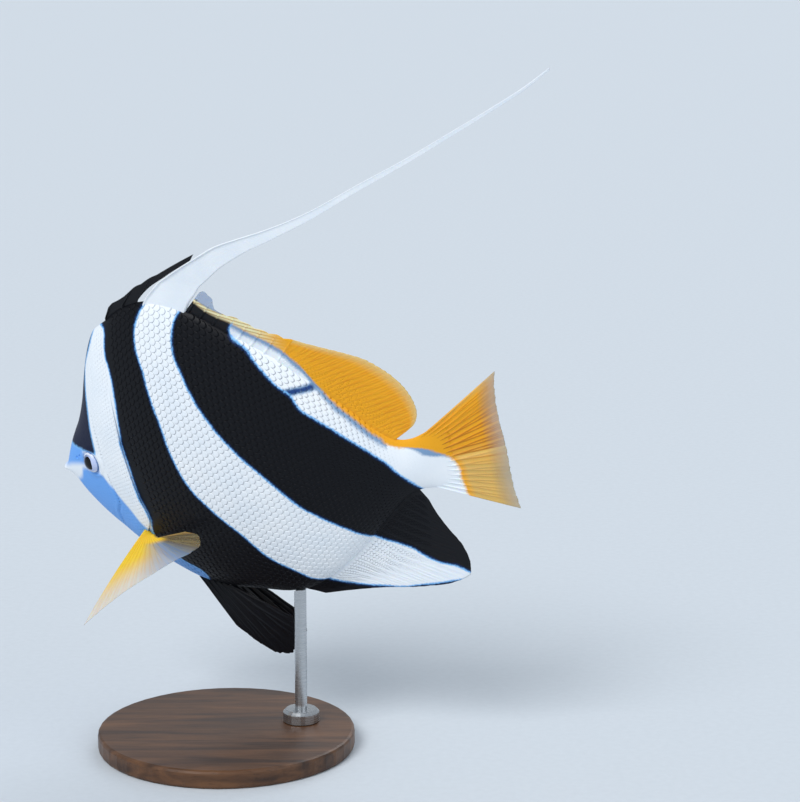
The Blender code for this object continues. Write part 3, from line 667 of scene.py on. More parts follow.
def add_plates(name, top, low, u, v):
    """Piece of plates from grids of both faces, which meet halfway at the rim, and bake places."""
    top[:, plate_rim] = (top[:, plate_rim] + low[:, plate_rim]) / 2
    bake = np.stack([u + 0 * v, v + 0 * u], axis=-1)
    points, bake = (np.concatenate([front.reshape(len(top), -1, front.shape[-1]),
                                    back[:, 1:-1, 1:-1].reshape(len(top), -1, back.shape[-1])], axis=1)
                    for front, back in ((top, low), (bake, bake)))
    first = points.shape[1] * np.arange(len(top))[:, None, None]
    quads = (two_faced(SCALE_GRID, SCALE_GRID)[None] + first).reshape(-1, 4)
    points = points.reshape(-1, 3)
    piece = mesh_piece(name, placed(points), quads, scale_paint, markings(points), None,
                       bake.reshape(-1, 2))
    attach(piece, "root")


def add_scales(name, roots, side):
    """Plates at these roots on one side.

    A plate is wide at the middle and round behind, lifts from its root to its tip and crowns
    along its middle. The left side bakes to one half of the map, the right side to the other.
    """
    s0, angle0, size = (column[:, None, None] for column in roots.T)
    length = COLUMN_STEP * size ** 0.8 * SCALE_LONG
    nudge = 0.002
    here, there = body(s0, angle0), body(s0, angle0 + nudge)
    turn = np.linalg.norm(there - here, axis=-1) / nudge
    s = s0 + length * (a * (1 - 0.30 * b**2) - 0.25)
    width = SCALE_WIDE * ROW_STEP * size * (1 - 0.35 * (1 - a) ** 2 - 0.12 * a**3)
    angle = np.clip(angle0 + b * width / turn, -np.pi / 2, np.pi / 2)
    lift = (SCALE_ROOT + (SCALE_LIFT - SCALE_ROOT) * a**0.8 - SCALE_CROWN * b**2) * size**2
    mirror = (1, 1, side)
    top, low = skin(s, angle, lift) * mirror, skin(s, angle, lift - SCALE_THICK) * mirror
    u = (0.02 if side > 0 else 0.52) + 0.46 * (s0 / 1.06) + BAKE_PATCH * (a - 0.5)
    v = 0.05 + 0.9 * (np.degrees(angle0) + 90) / 180 + BAKE_PATCH * b / 2
    add_plates(name, top, low, u, v)


def behind_gill(roots):
    """How far each root lies behind the gill line."""
    return roots[:, 0] - gill_line(np.degrees(roots[:, 1]))


trunk_roots = scale_roots(TRUNK_FROM, SCALES_TO, 1.0)
trunk_roots = trunk_roots[behind_gill(trunk_roots) > TRUNK_BARE]
head_roots = scale_roots(SCALES_FROM, HEAD_TO, HEAD_SCALE)
spot = body(head_roots[:, 0], head_roots[:, 1])
from_eye = np.hypot(spot[:, 0] - EYE_PLACE[0], spot[:, 1] - EYE_PLACE[1])
head_roots = head_roots[(behind_gill(head_roots) < -HEAD_BARE) & (from_eye > EYE_BARE)]
in_front = trunk_roots[:, 0] < SCALES_SPLIT

for side, word in SIDES:
    add_scales("scales_" + word, trunk_roots[in_front], side)
    add_scales("rear_scales_" + word, trunk_roots[~in_front], side)
    add_scales("head_scales_" + word, head_roots, side)

# The eyes: flattened glass balls set in the sockets, each with a domed cornea. The upright black
# pupil and its ring, blue in front and silvery behind, are painted behind the glass.
EYE_TURN, EYE_TILT = math.radians(16), math.radians(6)
EYE_RINGS, EYE_AROUND = 40, 72
PUPIL_SHIFT = (0.004, 0.003)
PUPIL_RADIUS, IRIS_RADIUS = 2.35, 3.55
PUPIL_NARROW, PUPIL_LEAN = 1.55, math.radians(13)
CORNEA, CORNEA_WIDE = 0.0016, 0.022
ROUND_FROM, ROUND_OVER = 0.0165, 0.007
REAR_OVER, LEVEL_HALF, LEVEL_EDGE = 0.03, 0.011, 0.010


def eye_material():
    """Clear glass over rings of paint: pupil, iris, a silver rim, and a blue-grey outer edge that is
    painted shade of the socket.
    """
    made, shader, add, join = new_material("glass_eye", 0.12, 0.12, (0.3, 0.04))
    ring = sum_of(add, named(add, "ring"), times(add, clouded(add, 900, 2), 0.16))
    cloudy = mixed(add, clouded(add, 2200, 3), paint(52, 74, 116), paint(84, 108, 150))
    iris = mixed(add, named(add, "rear"), cloudy, paint(192, 204, 238))
    silver = mixed(add, named(add, "level"), paint(226, 232, 244), iris)
    # The last stop paints the ball's outer edge blue-grey: painted shade where it sinks into the
    # socket.
    stops = [(PUPIL_RADIUS, PUPIL_RADIUS + 0.16, iris),
             (IRIS_RADIUS - 0.50, IRIS_RADIUS - 0.34, silver),
             (IRIS_RADIUS - 0.06, IRIS_RADIUS + 0.12, paint(96, 126, 176))]
    join(stepped(add, ring, paint(6, 7, 10), stops), "Base Color")
    return made


eye_paint = eye_material()
theta = np.radians(np.linspace(0, 118, EYE_RINGS))[:, None]
phi = np.linspace(0, 2 * np.pi, EYE_AROUND, endpoint=False)[None, :]

# A ball of rings about its axis: wide by the sine of theta, deep by its cosine and the cornea's
# dome. The pupil's rings are narrow, upright and a little off centre, and turn round outwards.
out = float(body(np.array(EYE_PLACE[0]), angle_at(*EYE_PLACE))[2]) - EYE_SINK
centre = np.array([*EYE_PLACE, out])
axis = np.array([-math.sin(EYE_TURN) * math.cos(EYE_TILT), math.sin(EYE_TILT),
                 math.cos(EYE_TURN) * math.cos(EYE_TILT)])
upright = np.array([0, 1, 0]) - axis[1] * axis
upright /= np.linalg.norm(upright)
level = np.cross(upright, axis)
radius = EYE_RADIUS * np.sin(theta)
dome = CORNEA * np.clip(1 - (radius / CORNEA_WIDE) ** 2, 0, 1) ** 1.5
x, y = radius * np.cos(phi), radius * np.sin(phi)
grid = (centre + x[..., None] * level + y[..., None] * upright
        + (EYE_DEPTH * np.cos(theta) + dome + 0 * x)[..., None] * axis)
points, quads, fans = tube(grid[1:], [grid[0, 0], grid[-1].mean(axis=0)])
across, high = (points - centre) @ level, (points - centre) @ upright
off = (across - PUPIL_SHIFT[0], high - PUPIL_SHIFT[1])
round_ring = np.hypot(across, high)
lean, stand = math.sin(PUPIL_LEAN), math.cos(PUPIL_LEAN)
thin, tall = off[0] * stand + off[1] * lean, off[1] * stand - off[0] * lean
narrow_ring = np.hypot(thin * PUPIL_NARROW, tall)
ring = narrow_ring + (round_ring - narrow_ring) * ease((round_ring - ROUND_FROM) / ROUND_OVER)
values = {"ring": ring * LENGTH * 1000, "rear": ease(0.5 + across / REAR_OVER),
          "level": 1 - ease((np.abs(high) - LEVEL_HALF) / LEVEL_EDGE)}
for side, word in SIDES:
    piece = mesh_piece("glass_eye_" + word, placed(points * (1, 1, side)), quads, eye_paint, values,
                       fans)
    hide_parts("eye_" + word)
    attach(piece, "root")

# The fins: thin cast webs between rays that stand up on both faces, closed at the rim. Spines are
# single, soft rays fork twice, and every root is sunk in the body and glued there.
FIN_LIFT = 0.0030
ROOT_SINK = 0.012
WEB_HALF = 0.0008
RIM_THINS, SIDE_THINS = 0.004, 0.0025
FRINGE = 3
SHEATH_REACH = 0.55
FLESHY = (0.0026, SHEATH_REACH)
PLAIN = {"gold": -9.0, "hem": -9.0, "bar": -9.0, "mask": -9.0, "shade": -9.0}


def path(points):
    """Smooth line in two or three dimensions, run at a steady pace from 0 to 1."""
    points = np.array(points, float)
    lengths = np.linalg.norm(np.diff(points, axis=0), axis=1)
    pace = running(lengths) / lengths.sum()
    parts = [curve(np.column_stack([pace, column])) for column in points.T]
    return lambda t: np.stack([part(t) for part in parts], axis=-1)


def in_middle(sh):
    """Adds w = 0 to (s, h) values."""
    return np.concatenate([sh, np.zeros_like(sh[..., :1])], axis=-1)


def edge_line(points):
    """Smooth line in the middle plane."""
    line = path(points)
    return lambda t: in_middle(line(t))


def ridge_root(line, side, first, last):
    """Root line along the back's ridge (side 1) or the belly's (side -1), a little off it."""
    def root(t):
        s = first + (last - first) * t
        slope = (line(s + 0.001) - line(s - 0.001)) / 0.002
        off = side * FIN_LIFT / np.sqrt(1 + slope**2)
        return in_middle(np.stack([s - slope * off, line(s) + off], axis=-1))
    return root


def ray_ridges(t, v, places, spread, forks):
    """Height 0 to 1 over the web: the highest of the bell curves about each ray's branches."""
    ridge = np.zeros_like(t)
    for place, width, forked in zip(places, np.gradient(places), forks):
        for fork in (-1, 1) if forked else (0,):
            for twig in (-1, 1) if forked else (0,):
                at = place + width * (0.20 * fork * ease((v - 0.30) / 0.40)
                                      + 0.09 * twig * ease((v - 0.62) / 0.30))
                ridge = np.maximum(ridge, bump(t, (at, spread, 1)))
    return ridge


def fin(root, edge, rays, forks, columns, rows, ray_half, spread, notch=0.0, ragged=0.0,
        bow=None, wave=0.0, seed=1, fleshy=(0.0, 1.0), tuck=None):
    """Grid of a fin, (s, h, w) points and values: root plus a share v of the way to the edge.

    ray_half is a ray's half thickness at its root and tip, spread its half width, notch how far
    the web draws in between the tips, ragged how uneven the tips are, bow how far each ray bends
    at its middle, and wave how far the fin swings out of its plane towards the edge. fleshy is
    how much thicker the scaly foot is and how far it reaches, and tuck where the foot is pushed
    below the root.
    """
    places = np.array(rays, float)
    t = np.linspace(0, 1, columns)
    start, end = root(t), edge(t)
    span = np.linalg.norm(end - start, axis=-1)
    sink = -ROOT_SINK / span
    nearest = np.abs(t[:, None] - places[None, :]).argmin(axis=1)
    gaps = np.gradient(places)[nearest]
    between = np.clip(np.abs(t - places[nearest]) / gaps * 2, 0, 1)
    chance = np.random.default_rng(seed).uniform(-1, 1, (2, 64))
    uneven = np.interp(t * 63, np.arange(64), chance[0])
    fringe = 0.5 + 0.5 * np.cos(2 * np.pi * np.cumsum(1 / gaps / columns) * FRINGE)
    reach = 1 - notch * between**1.5 - ragged * (0.5 + 0.5 * uneven + 0.35 * fringe)
    v = sink[:, None] + (reach - sink)[:, None] * np.linspace(0, 1, rows)[None, :]
    centre = start[:, None] + (end - start)[:, None] * v[..., None]
    if bow is not None:
        centre = centre + bow(t)[:, None, :] * (4 * v * (1 - v))[..., None]
    if tuck is not None:
        centre = centre + tuck(t)[:, None, :] * np.clip(v / sink[:, None], 0, 1)[..., None]
    along_t = np.gradient(centre, t, axis=0)
    along_v = np.gradient(centre, axis=1)
    normal = np.cross(along_t, along_v)
    normal /= np.maximum(np.linalg.norm(normal, axis=-1, keepdims=True), 1e-9)
    whole = t[:, None] + 0 * v
    if wave:
        swing = wave * np.clip(v, 0, 1) ** 1.6
        swing = swing * (np.sin(whole * 9.0 + seed) + 0.5 * np.sin(whole * 23.0 + 2 * seed))
        centre = centre + normal * swing[..., None]
    width = np.linalg.norm(along_t, axis=-1)
    spread_t = spread * (1 - 0.45 * np.clip(v, 0, 1)) / width
    ridge = ray_ridges(whole, v, places, spread_t, forks)
    thick = ray_half[0] + (ray_half[1] - ray_half[0]) * np.clip(v, 0, 1)
    foot = np.clip(1 - np.clip(v, 0, 1) / fleshy[1], 0, 1)
    half = WEB_HALF + (thick - WEB_HALF) * ridge * (1 - 0.9 * foot**0.5 if fleshy[0] else 1)
    half = half + fleshy[0] * foot**1.5
    rim = np.minimum(1, (1 - np.linspace(0, 1, rows)[None, :]) * span[:, None] / RIM_THINS) ** 0.5
    side = np.minimum(t, 1 - t)[:, None] * width / SIDE_THINS
    half = half * rim * np.clip(side, 0, 1) ** 0.5
    away = normal * half[..., None]
    values = {"ray": both(ridge), "tip": both(np.clip(v, 0, 1)), "across": both(whole)}
    return both(centre + away, centre - away), values, two_faced(columns, rows)


def fin_material(name, see_through, glow, tint=None):
    """Fin paint: the markings, darker along the rays, with light passing through the web."""
    made, shader, add, join = new_material(name, 0.46, 0.20, (0.04, 0.2))
    colour = skin_colour(add)
    ray, tip, across = named(add, "ray"), named(add, "tip"), named(add, "across")
    if tint is not None:
        colour = tint(add, colour, ray, tip, across)
    join(colour, "Base Color")
    shader.inputs["Subsurface Weight"].default_value = glow
    shader.inputs["Subsurface Radius"].default_value = (1.0, 0.6, 0.3)
    shader.inputs["Subsurface Scale"].default_value = 0.0012
    joints = add("TexWave", 1, {"wave_type": "BANDS", "bands_direction": "X"},
                 Vector=add("CombineXYZ", 0, None, X=tip), Scale=14.0)
    height = sum_of(add, times(add, joints, ray, 0.5), clouded(add, 1600, 3))
    join(add("Bump", 0, None, Strength=0.4, Distance=0.00005, Height=height), "Normal")
    if see_through:
        join(sum_of(add, times(add, named(add, "clear"), -see_through), 1.0), "Alpha")
    return made


def add_fin(name, made, material, slot, nodes, **more):
    """Fin piece from fin()'s result, with the markings and further values at its points."""
    points, values, quads = made
    values = {**values, **markings(points)}
    for key, value in more.items():
        values[key] = value(points, values) if callable(value) else value + 0 * values["ray"]
    piece = mesh_piece(name, placed(points), quads, material, values)
    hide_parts(*nodes)
    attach(piece, "root")
    return piece


# Dorsal fin, front: three short stout spines and their black web, cast as one thin sheet. It is
# sunk in the back's ridge and climbs the banner's front edge.
FRONT_FOOT = [(0.397, 0.4855), (0.433, 0.511), (0.4745, 0.5337), (0.5276, 0.5618), (0.562, 0.578)]
FRONT_EDGE = [(0.290, 0.448), (0.303, 0.458), (0.322, 0.467), (0.346, 0.480), (0.386, 0.505),
              (0.449, 0.5345), (0.520, 0.5675), (0.572, 0.590)]
FRONT_LEAN = 0.75

ridge_points = ridge_root(back_line, 1, 0.272, 0.376)(np.linspace(0, 1, 5))[:, :2]
front_foot, front_edge = edge_line([*ridge_points, *FRONT_FOOT]), edge_line(FRONT_EDGE)
dark_fin = fin_material("black_fin", 0.0, 0.05)
front = fin(front_foot, lambda t: front_edge(t**FRONT_LEAN), (0.02, 0.22, 0.42),
            (False,) * 3, 150, 26, (0.0048, 0.0022), 0.0034, notch=0.10,
            tuck=lambda t: ROOT_SINK * ease((0.40 - t) / 0.08)[:, None] * np.array([0.3, -1, 0]))
add_fin("front_spines", front, dark_fin, "fin_black", ["dorsal_front_spines"], ink=6.0, **PLAIN)

# The banner: the long fourth spine with its white web, cast as one sheet that is broad at the foot
# and a thin streamer behind. The spine stiffens its front edge, and its foot is sunk in the back.
BANNER_FRONT = [(0.388, 0.4705), (0.399, 0.483), (0.435, 0.508), (0.476, 0.531), (0.529, 0.559),
                (0.578, 0.583), (0.627, 0.606), (0.686, 0.622), (0.757, 0.637), (0.858, 0.662),
                (0.980, 0.700), (1.100, 0.731), (1.219, 0.766), (1.292, 0.788), (1.376, 0.816),
                (1.436, 0.842)]
BANNER_BACK = [(0.500, 0.4530), (0.523, 0.477), (0.546, 0.493), (0.560, 0.506), (0.587, 0.525),
               (0.626, 0.552), (0.674, 0.577), (0.715, 0.595), (0.757, 0.609), (0.858, 0.643),
               (0.980, 0.686), (1.100, 0.720), (1.219, 0.757), (1.292, 0.780), (1.376, 0.809),
               (1.434, 0.836)]
BANNER_ROWS, BANNER_COLUMNS = 300, 40
SPINE_AT, SPINE_WIDE, SPINE_HALF = 0.045, 0.0026, (0.0044, 0.0016)
BANNER_FOOT, FOOT_SINKS = (0.0055, 0.09), 14
BANNER_SIDE, BANNER_TIP = 0.0016, 0.01

banner_front, banner_back = edge_line(BANNER_FRONT), edge_line(BANNER_BACK)
v = np.linspace(0, 1, BANNER_ROWS)
share = np.linspace(0, 1, BANNER_COLUMNS)[:, None]
lead, trail = banner_front(v)[None], banner_back(v)[None]
centre = lead + (trail - lead) * share[..., None]
foot = (back_line(centre[:, :1, 0]) - ROOT_SINK - centre[:, :1, 1])
centre[..., 1] += foot * np.clip(1 - v * FOOT_SINKS, 0, 1)
breadth = np.linalg.norm(trail - lead, axis=-1)
spine = bump((share - SPINE_AT) * breadth, (0, SPINE_WIDE * (1 - 0.6 * v), 1))
stripes = 0.25 * (0.5 + 0.5 * np.cos(share * 60 + 2 * np.sin(v * 40))) * ease(v / 0.1)
spine_half = SPINE_HALF[0] + (SPINE_HALF[1] - SPINE_HALF[0]) * ease(v * 1.6)
half = WEB_HALF * (1 + stripes) + (spine_half - WEB_HALF) * spine
half = half + BANNER_FOOT[0] * np.clip(1 - v / BANNER_FOOT[1], 0, 1) ** 1.5
side = np.minimum(share, 1 - share) * breadth / BANNER_SIDE
half = half * np.clip(side, 0, 1) ** 0.5 * np.clip((1 - v) / BANNER_TIP, 0, 1) ** 0.5
away = np.stack([0 * half, 0 * half, half], axis=-1)
shape = (BANNER_COLUMNS, BANNER_ROWS)
values = {"ray": both(spine * np.ones(shape)), "tip": both(v * np.ones(shape)),
          "across": both(share * np.ones(shape))}
banner = (both(centre + away, centre - away), values, two_faced(*shape))
white_fin = fin_material("white_fin", 0.0, 0.04)
add_fin("banner", banner, white_fin, "fin_white", ["dorsal_banner", "banner_streamer"],
        ink=-9.0, **PLAIN)

# Dorsal fin, back: eight spines whose web draws in between the tips and has a cream edge, then the
# soft yellow fin on forked rays. Both are thin cast sheets, sunk in the back's ridge.
BACK_EDGE = [(0.558, 0.495), (0.569, 0.4965), (0.580, 0.491), (0.585, 0.479), (0.584, 0.463),
             (0.589, 0.448), (0.602, 0.440), (0.622, 0.4345), (0.640, 0.427), (0.662, 0.412),
             (0.688, 0.398), (0.714, 0.387), (0.758, 0.3665)]
SOFT_EDGE = [(0.749, 0.371), (0.806, 0.345), (0.853, 0.323), (0.899, 0.296), (0.930, 0.266),
             (0.955, 0.233), (0.973, 0.198), (0.982, 0.160), (0.980, 0.130), (0.968, 0.110),
             (0.952, 0.100)]
SOFT_LEAN = 0.72
STRIP_TO, STRIP_FADES = 0.745, 0.09
LOBE_OVER, LOBE_TO = 0.010, 0.603
STREAKS, STREAK_SLANT = 2 * math.pi / 0.0085, 0.32


def streaked(add, colour, ray, tip, across):
    """Yellow that deepens along the rays and pales on the web near the margin."""
    gold = ramp(add, named(add, "gold"), 0.2, 1.6)
    deep = mixed(add, times(add, ray, gold, clouded(add, 120, 3), 0.55), colour, AMBER)
    return mixed(add, times(add, named(add, "pale"), gold, 0.6), deep, paint(250, 220, 150))


def stripped(add, colour, ray, tip, across):
    """A cream strip with thin brown streaks along the spines' tips, and the grey first lobe."""
    gold = ramp(add, named(add, "gold"), -0.6, 0.5)
    cream = mixed(add, named(add, "streak"), paint(240, 230, 186), paint(170, 132, 70))
    strip = mixed(add, times(add, gold, named(add, "pale")), colour, cream)
    return mixed(add, named(add, "lobe"), strip, paint(120, 150, 190))


def lobe(points, values):
    """Share of the clear grey web: above the strip and before the third spine's tip."""
    above = points[:, 1] - gold_over(np.clip(points[:, 0], 0.5, 0.95))
    return ease((above - LOBE_OVER) / 0.006) * ease((LOBE_TO - points[:, 0]) / 0.01)


def streaks(points, values):
    """Share of brown: a sine wave across the strip, cut so that the streaks stay thin."""
    wave = np.sin((points[:, 1] + STREAK_SLANT * points[:, 0]) * STREAKS)
    return 0.8 * ease(wave * 1.4 - 0.3)


yellow_fin = fin_material("yellow_fin", 0.45, 0.35, streaked)
edged_fin = fin_material("edged_fin", 0.6, 0.25, stripped)
back = fin(ridge_root(back_line, 1, 0.506, 0.712), edge_line(BACK_EDGE),
           np.linspace(0.03, 0.975, 8), (False,) * 8, 150, 40, (0.0042, 0.0016), 0.0026, notch=0.08)
add_fin("back_spines", back, edged_fin, "fin_white", ["dorsal_back_spines"],
        pale=lambda p, v: ease((STRIP_TO - p[:, 0]) / STRIP_FADES), clear=lobe, lobe=lobe,
        streak=streaks)
soft_root, soft_edge = ridge_root(back_line, 1, 0.704, 0.925), edge_line(SOFT_EDGE)
soft = fin(soft_root, lambda t: soft_edge(t**SOFT_LEAN), np.linspace(0.015, 0.985, 24),
           (True,) * 24, 240, 56, (0.0028, 0.0012), 0.0021, notch=0.008, ragged=0.012, seed=3,
           fleshy=FLESHY)
add_fin("soft_dorsal", soft, yellow_fin, "fin_yellow", ["dorsal_soft_fin"],
        pale=lambda p, v: ease((v["tip"] - 0.75) / 0.25),
        clear=lambda p, v: 0.6 * ease((v["tip"] - 0.8) / 0.2))

# Anal fin: three spines and a deep soft lobe on forked rays, which carries both black bands and the
# white one on from the body. It is one thin cast sheet, sunk in the belly's ridge.
ANAL_EDGE = [(0.655, -0.303), (0.710, -0.296), (0.800, -0.294), (0.900, -0.308), (0.970, -0.313),
             (1.006, -0.303), (1.013, -0.270), (1.005, -0.220), (0.984, -0.170), (0.966, -0.120),
             (0.957, -0.084)]
anal_rays = np.concatenate([(0.015, 0.07, 0.13), np.linspace(0.19, 0.985, 18)])
anal_root, anal_edge = ridge_root(belly_line, -1, 0.615, 0.945), edge_line(ANAL_EDGE)
anal = fin(anal_root, anal_edge, anal_rays, (False,) * 3 + (True,) * 18, 230, 60,
           (0.0026, 0.0011), 0.0020, notch=0.006, ragged=0.008, seed=5, fleshy=FLESHY)
banded_fin = fin_material("banded_fin", 0.0, 0.12)
add_fin("anal_fin_web", anal, banded_fin, "fin_black", ["anal_fin"], **PLAIN)

# The scaly sheaths: small resin plates in staggered rows on both faces of the soft fins' feet. They
# carry the body's scaling on over the fins, smaller towards the edge, and lie flat on the web.
SHEATH_STEP = (0.0105, 0.0088)
SHEATH_THINS = 0.45
SHEATH_OFF, SHEATH_THICK = 0.0005, 0.0003


def add_sheath(name, root, edge, first, last, patch):
    """Plates on both sides of a median fin: rows by share v of the height, columns by root place."""
    t_dense = np.linspace(first, last, 400)
    run = running(np.linalg.norm(np.diff(root(t_dense), axis=0), axis=1))
    height = np.linalg.norm(edge(np.array([0.5])) - root(np.array([0.5])))
    spots = []
    v, odd = 0.0, False
    while v < SHEATH_REACH:
        size = 1 - SHEATH_THINS * v / SHEATH_REACH
        count = int(run[-1] / (SHEATH_STEP[0] * size))
        place = (np.arange(count) + 0.25 + 0.5 * odd) * SHEATH_STEP[0] * size
        t = np.interp(place, run, t_dense)
        spots.append(np.column_stack([t, 0 * t + v, 0 * t + size]))
        v += SHEATH_STEP[1] * size / height
        odd = not odd
    t0, v0, size = (column[:, None, None] for column in np.concatenate(spots).T)
    start, end = root(t0 + 0 * a), edge(t0 + 0 * a)
    out = (end - start) / np.linalg.norm(end - start, axis=-1, keepdims=True)
    centre = start + (end - start) * v0[..., None]
    along = np.cross(out, (0, 0, 1.0))
    long = (a * (1 - 0.3 * b**2) - 0.35) * SHEATH_STEP[1] * 1.8 * size
    wide = b * SHEATH_STEP[0] * 0.56 * size * (1 - 0.3 * (1 - a) ** 2)
    spot = centre + out * long[..., None] + along * wide[..., None]
    reached = v0 + long / np.linalg.norm(end - start, axis=-1)
    foot = np.clip(1 - np.clip(reached, 0, 1) / SHEATH_REACH, 0, 1)
    lift = WEB_HALF + FLESHY[0] * foot**1.5 + SHEATH_OFF * (a - 0.3) * (0.3 + 0.7 * foot)
    u = patch[0] + 0.2 * t0 + BAKE_PATCH * b / 2
    top = spot + np.array((0, 0, 1.0)) * lift[..., None]
    low = top - np.array((0, 0, SHEATH_THICK))
    for side, word in SIDES:
        w = patch[1] + 0.06 * v0 + 0.07 * (side < 0) + BAKE_PATCH * (a - 0.5)
        add_plates(f"{name}_{word}", top * (1, 1, side), low * (1, 1, side), u, w)


add_sheath("soft_dorsal_scales", soft_root, lambda t: soft_edge(t**SOFT_LEAN), 0.02, 0.97, (0.03, 0.01))
add_sheath("anal_scales", anal_root, anal_edge, 0.10, 0.97, (0.53, 0.01))

# Tail fin: a thin cast web on seventeen rays, forked but for the outer two, yellow above and tan
# below. It grows out of the scaly end of the tail stalk to a straight rear edge that waves a little.
CAUDAL_ROOT = [(0.9826, 0.082), (0.9826, -0.058)]
CAUDAL_EDGE = [(1.172, 0.188), (1.163, 0.150), (1.157, 0.090), (1.156, 0.0), (1.152, -0.090),
               (1.152, -0.130), (1.156, -0.172)]


def tail_tint(add, colour, ray, tip, across):
    """Orange-yellow above, tan below, ochre streaks, a pale ray between and a greyer margin."""
    gold = ramp(add, named(add, "gold"), 0.2, 2.0)
    lower = ramp(add, across, 0.42, 0.66)
    colour = mixed(add, times(add, lower, gold, 0.9), colour, paint(216, 182, 108))
    middle = stepped(add, across, (0.15, 0.15, 0.15, 1), [(0.10, 0.30, (0.9, 0.9, 0.9, 1)),
                                                          (0.52, 0.62, (0.1, 0.1, 0.1, 1))])
    colour = mixed(add, times(add, ray, gold, middle), colour, paint(176, 108, 26))
    pale_ray = stepped(add, across, (0, 0, 0, 1), [(0.515, 0.53, (0.5, 0.5, 0.5, 1)),
                                                   (0.555, 0.575, (0, 0, 0, 1))])
    colour = mixed(add, times(add, pale_ray, gold), colour, paint(244, 208, 128))
    upper_edge = times(add, ramp(add, across, 0.06, 0.0), tip, 0.7)
    colour = mixed(add, upper_edge, colour, paint(236, 200, 130))
    return mixed(add, times(add, ramp(add, tip, 0.74, 1.0), 0.6), colour, paint(160, 166, 160))


caudal_foot = edge_line(CAUDAL_ROOT)
tail = fin(caudal_foot, edge_line(CAUDAL_EDGE), np.linspace(0.012, 0.988, 17),
           (False,) + (True,) * 15 + (False,), 230, 70, (0.0040, 0.0010), 0.0022, notch=0.004,
           ragged=0.010, wave=0.003, seed=9)
tail_fin = fin_material("tail_fin", 0.4, 0.35, tail_tint)
add_fin("tail_fin_web", tail, tail_fin, "fin_yellow", ["caudal_fin"],
        clear=lambda p, v: ease((v["tip"] - 0.7) / 0.3))

# Pectoral fins: clear cast webs on fifteen thin rays, yellow at the foot and in front. Each is
# swept out and down from a short fleshy root that is sunk in the body behind the gill cover.
PECTORAL_ROOT = [(0.251, -0.110), (0.259, -0.119), (0.268, -0.1245), (0.283, -0.125)]
PECTORAL_EDGE = [(0.225, -0.198, 0.344), (0.238, -0.190, 0.322), (0.256, -0.180, 0.294),
                 (0.292, -0.164, 0.240), (0.334, -0.150, 0.192), (0.380, -0.132, 0.158),
                 (0.430, -0.112, 0.138), (0.453, -0.094, 0.130), (0.450, -0.080, 0.124),
                 (0.409, -0.072, 0.118)]
PECTORAL_BOW = (-0.004, 0.0, 0.006)
PECTORAL_LIFT = (0.0115, 0.0060)


def pectoral_tint(add, colour, ray, tip, across):
    """Yellow foot and leading rays, cream at their tip, greyer and clearer behind, with dull brown
    painted shade over the rear rays and a tan rear edge.
    """
    bright = mixed(add, tip, paint(255, 214, 60), paint(240, 186, 60))
    cream = stepped(add, tip, bright, [(0.35, 0.95, paint(218, 212, 204))])
    yellow = mixed(add, times(add, ray, 0.3), cream, paint(226, 160, 40))
    # The dull brown over the rear rays is painted shade.
    web = stepped(add, across, paint(132, 160, 196), [(0.70, 0.86, paint(128, 112, 80)),
                                                      (0.94, 0.97, paint(214, 168, 92))])
    rear = mixed(add, times(add, ray, 0.4), web, paint(190, 176, 124))
    return mixed(add, named(add, "yellow"), rear, yellow)


def pectoral_yellow(points, values):
    """Share of yellow: all of the foot and, further out, the leading rays."""
    across, tip = values["across"], values["tip"]
    foot = ease((0.34 - tip) / 0.20) * ease((1 - across) / 0.15)
    return np.maximum(ease((0.78 - across) / 0.46), foot)


pectoral_foot, pectoral_rim = path(PECTORAL_ROOT), path(PECTORAL_EDGE)
pectoral_fin = fin_material("pectoral_fin", 0.5, 0.35, pectoral_tint)
for side, word in SIDES:
    def pectoral_root(t):
        """Points along the short root, a little way out from the body's side."""
        sh = pectoral_foot(t)
        lift = PECTORAL_LIFT[0] + (PECTORAL_LIFT[1] - PECTORAL_LIFT[0]) * t
        out = body(sh[..., 0], angle_at(sh[..., 0], sh[..., 1]))[..., 2] + lift
        return np.concatenate([sh, side * out[..., None]], axis=-1)

    made = fin(pectoral_root, lambda t: pectoral_rim(t) * (1, 1, side),
               np.linspace(0.012, 0.988, 15), (False,) + (True,) * 14, 180, 60, (0.0022, 0.0009),
               0.0018, ragged=0.012, seed=11, fleshy=(0.007, 0.18),
               bow=lambda t: np.array(PECTORAL_BOW) * (1, 1, side) * (1 - t)[:, None])
    add_fin("pectoral_web_" + word, made, pectoral_fin, "fin_yellow", ["pectoral_fin_" + word],
            ink=-9.0, **PLAIN, yellow=pectoral_yellow,
            clear=lambda p, v: 1 - 0.85 * pectoral_yellow(p, v))

# Pelvic fins: a stout spine and five forked soft rays in a black web, a pair under the breast. Each
# is one thin cast sheet, sunk in the belly beside its ridge and swept back.
PELVIC_ROOT = (0.330, 0.430)
PELVIC_ANGLE = math.radians(-74)
PELVIC_LIFT = 0.005
PELVIC_EDGE = [(0.401, -0.395, 0.036), (0.420, -0.414, 0.035), (0.446, -0.439, 0.033),
               (0.468, -0.457, 0.031), (0.493, -0.471, 0.028), (0.521, -0.473, 0.024),
               (0.547, -0.454, 0.020), (0.564, -0.420, 0.016), (0.558, -0.370, 0.013)]
PELVIC_BOW = (0.005, 0.003, 0.006)

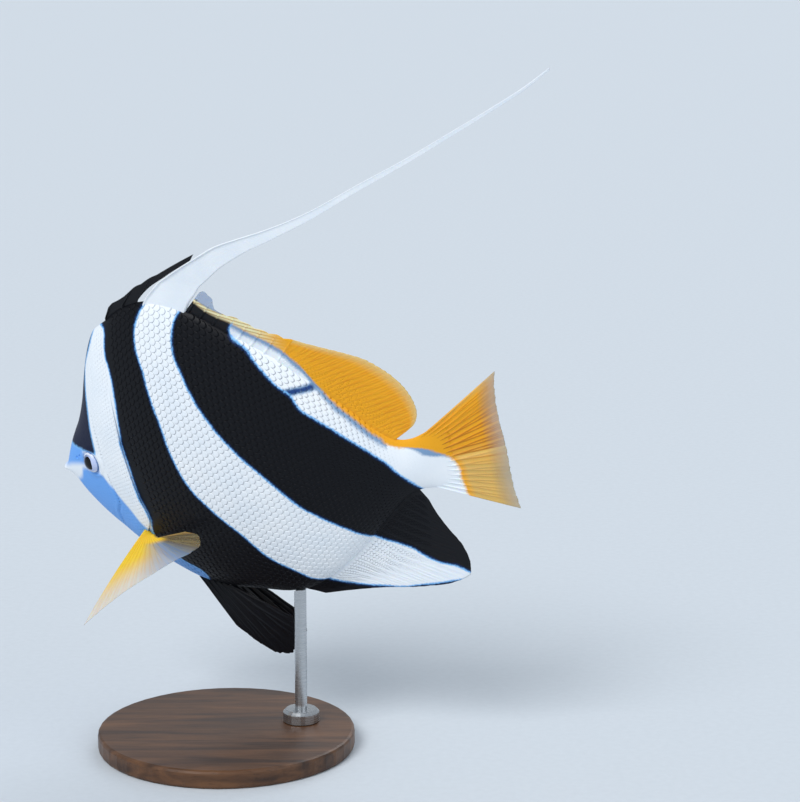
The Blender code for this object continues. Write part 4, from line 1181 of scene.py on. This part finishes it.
pelvic_rim = path(PELVIC_EDGE)
for side, word in SIDES:
    def pelvic_root(t):
        """Points along the belly at one angle, a little way out from the skin."""
        points = body(PELVIC_ROOT[0] + (PELVIC_ROOT[1] - PELVIC_ROOT[0]) * t, PELVIC_ANGLE + 0 * t)
        return moved_out(points, PELVIC_ANGLE, PELVIC_LIFT) * (1, 1, side)

    made = fin(pelvic_root, lambda t: pelvic_rim(t) * (1, 1, side),
               np.linspace(0.03, 0.97, 6), (False,) + (True,) * 5, 110, 70, (0.0044, 0.0012),
               0.0030, notch=0.02, ragged=0.015, seed=13,
               bow=lambda t: np.array(PELVIC_BOW) * (1, 1, side) * (1 - 0.8 * t)[:, None])
    add_fin("pelvic_web_" + word, made, dark_fin, "fin_black", ["pelvic_fin_" + word],
            ink=6.0, **PLAIN)

# The stand: a round base of dark oiled wood and a brushed steel rod with a collar at its foot. The
# rod is set in the base and carries the fish from under its belly.
def wood_material():
    """Oiled wood: noise drawn out along the grain, and finer noise for its pores."""
    made, shader, add, join = new_material("oiled_wood", 0.42, 0.4)
    place = add("Mapping", 0, None, Vector=add("TexCoord", 3), Scale=(1.0, 9.0, 9.0))
    grain = add("TexNoise", 0, None, Vector=place, Scale=22.0, Detail=8.0, Distortion=0.6)
    fine = add("TexNoise", 0, None, Vector=place, Scale=160.0, Detail=4.0)
    colour = mixed(add, ramp(add, grain, 0.32, 0.68), paint(52, 33, 22), paint(104, 70, 44))
    pores = times(add, ramp(add, fine, 0.55, 0.75), 0.5)
    join(mixed(add, pores, colour, paint(30, 19, 13)), "Base Color")
    join(add("Bump", 0, None, Strength=0.25, Distance=0.0002, Height=fine), "Normal")
    return made


def steel_material():
    """Brushed steel: noise drawn out into fine lines round the rod."""
    made, shader, add, join = new_material("brushed_steel", 0.26)
    shader.inputs["Metallic"].default_value = 1.0
    place = add("Mapping", 0, None, Vector=add("TexCoord", 3), Scale=(60.0, 60.0, 4000.0))
    lines = add("TexNoise", 0, None, Vector=place, Scale=1.0, Detail=3.0)
    join(mixed(add, lines, paint(168, 172, 176), paint(206, 208, 210)), "Base Color")
    join(add("MapRange", 0, None, Value=lines, To_Min=0.2, To_Max=0.36), "Roughness")
    return made


for node, material in (("stand_base", wood_material()), ("stand_rod", steel_material())):
    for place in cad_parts[node].material_slots:
        place.material = material
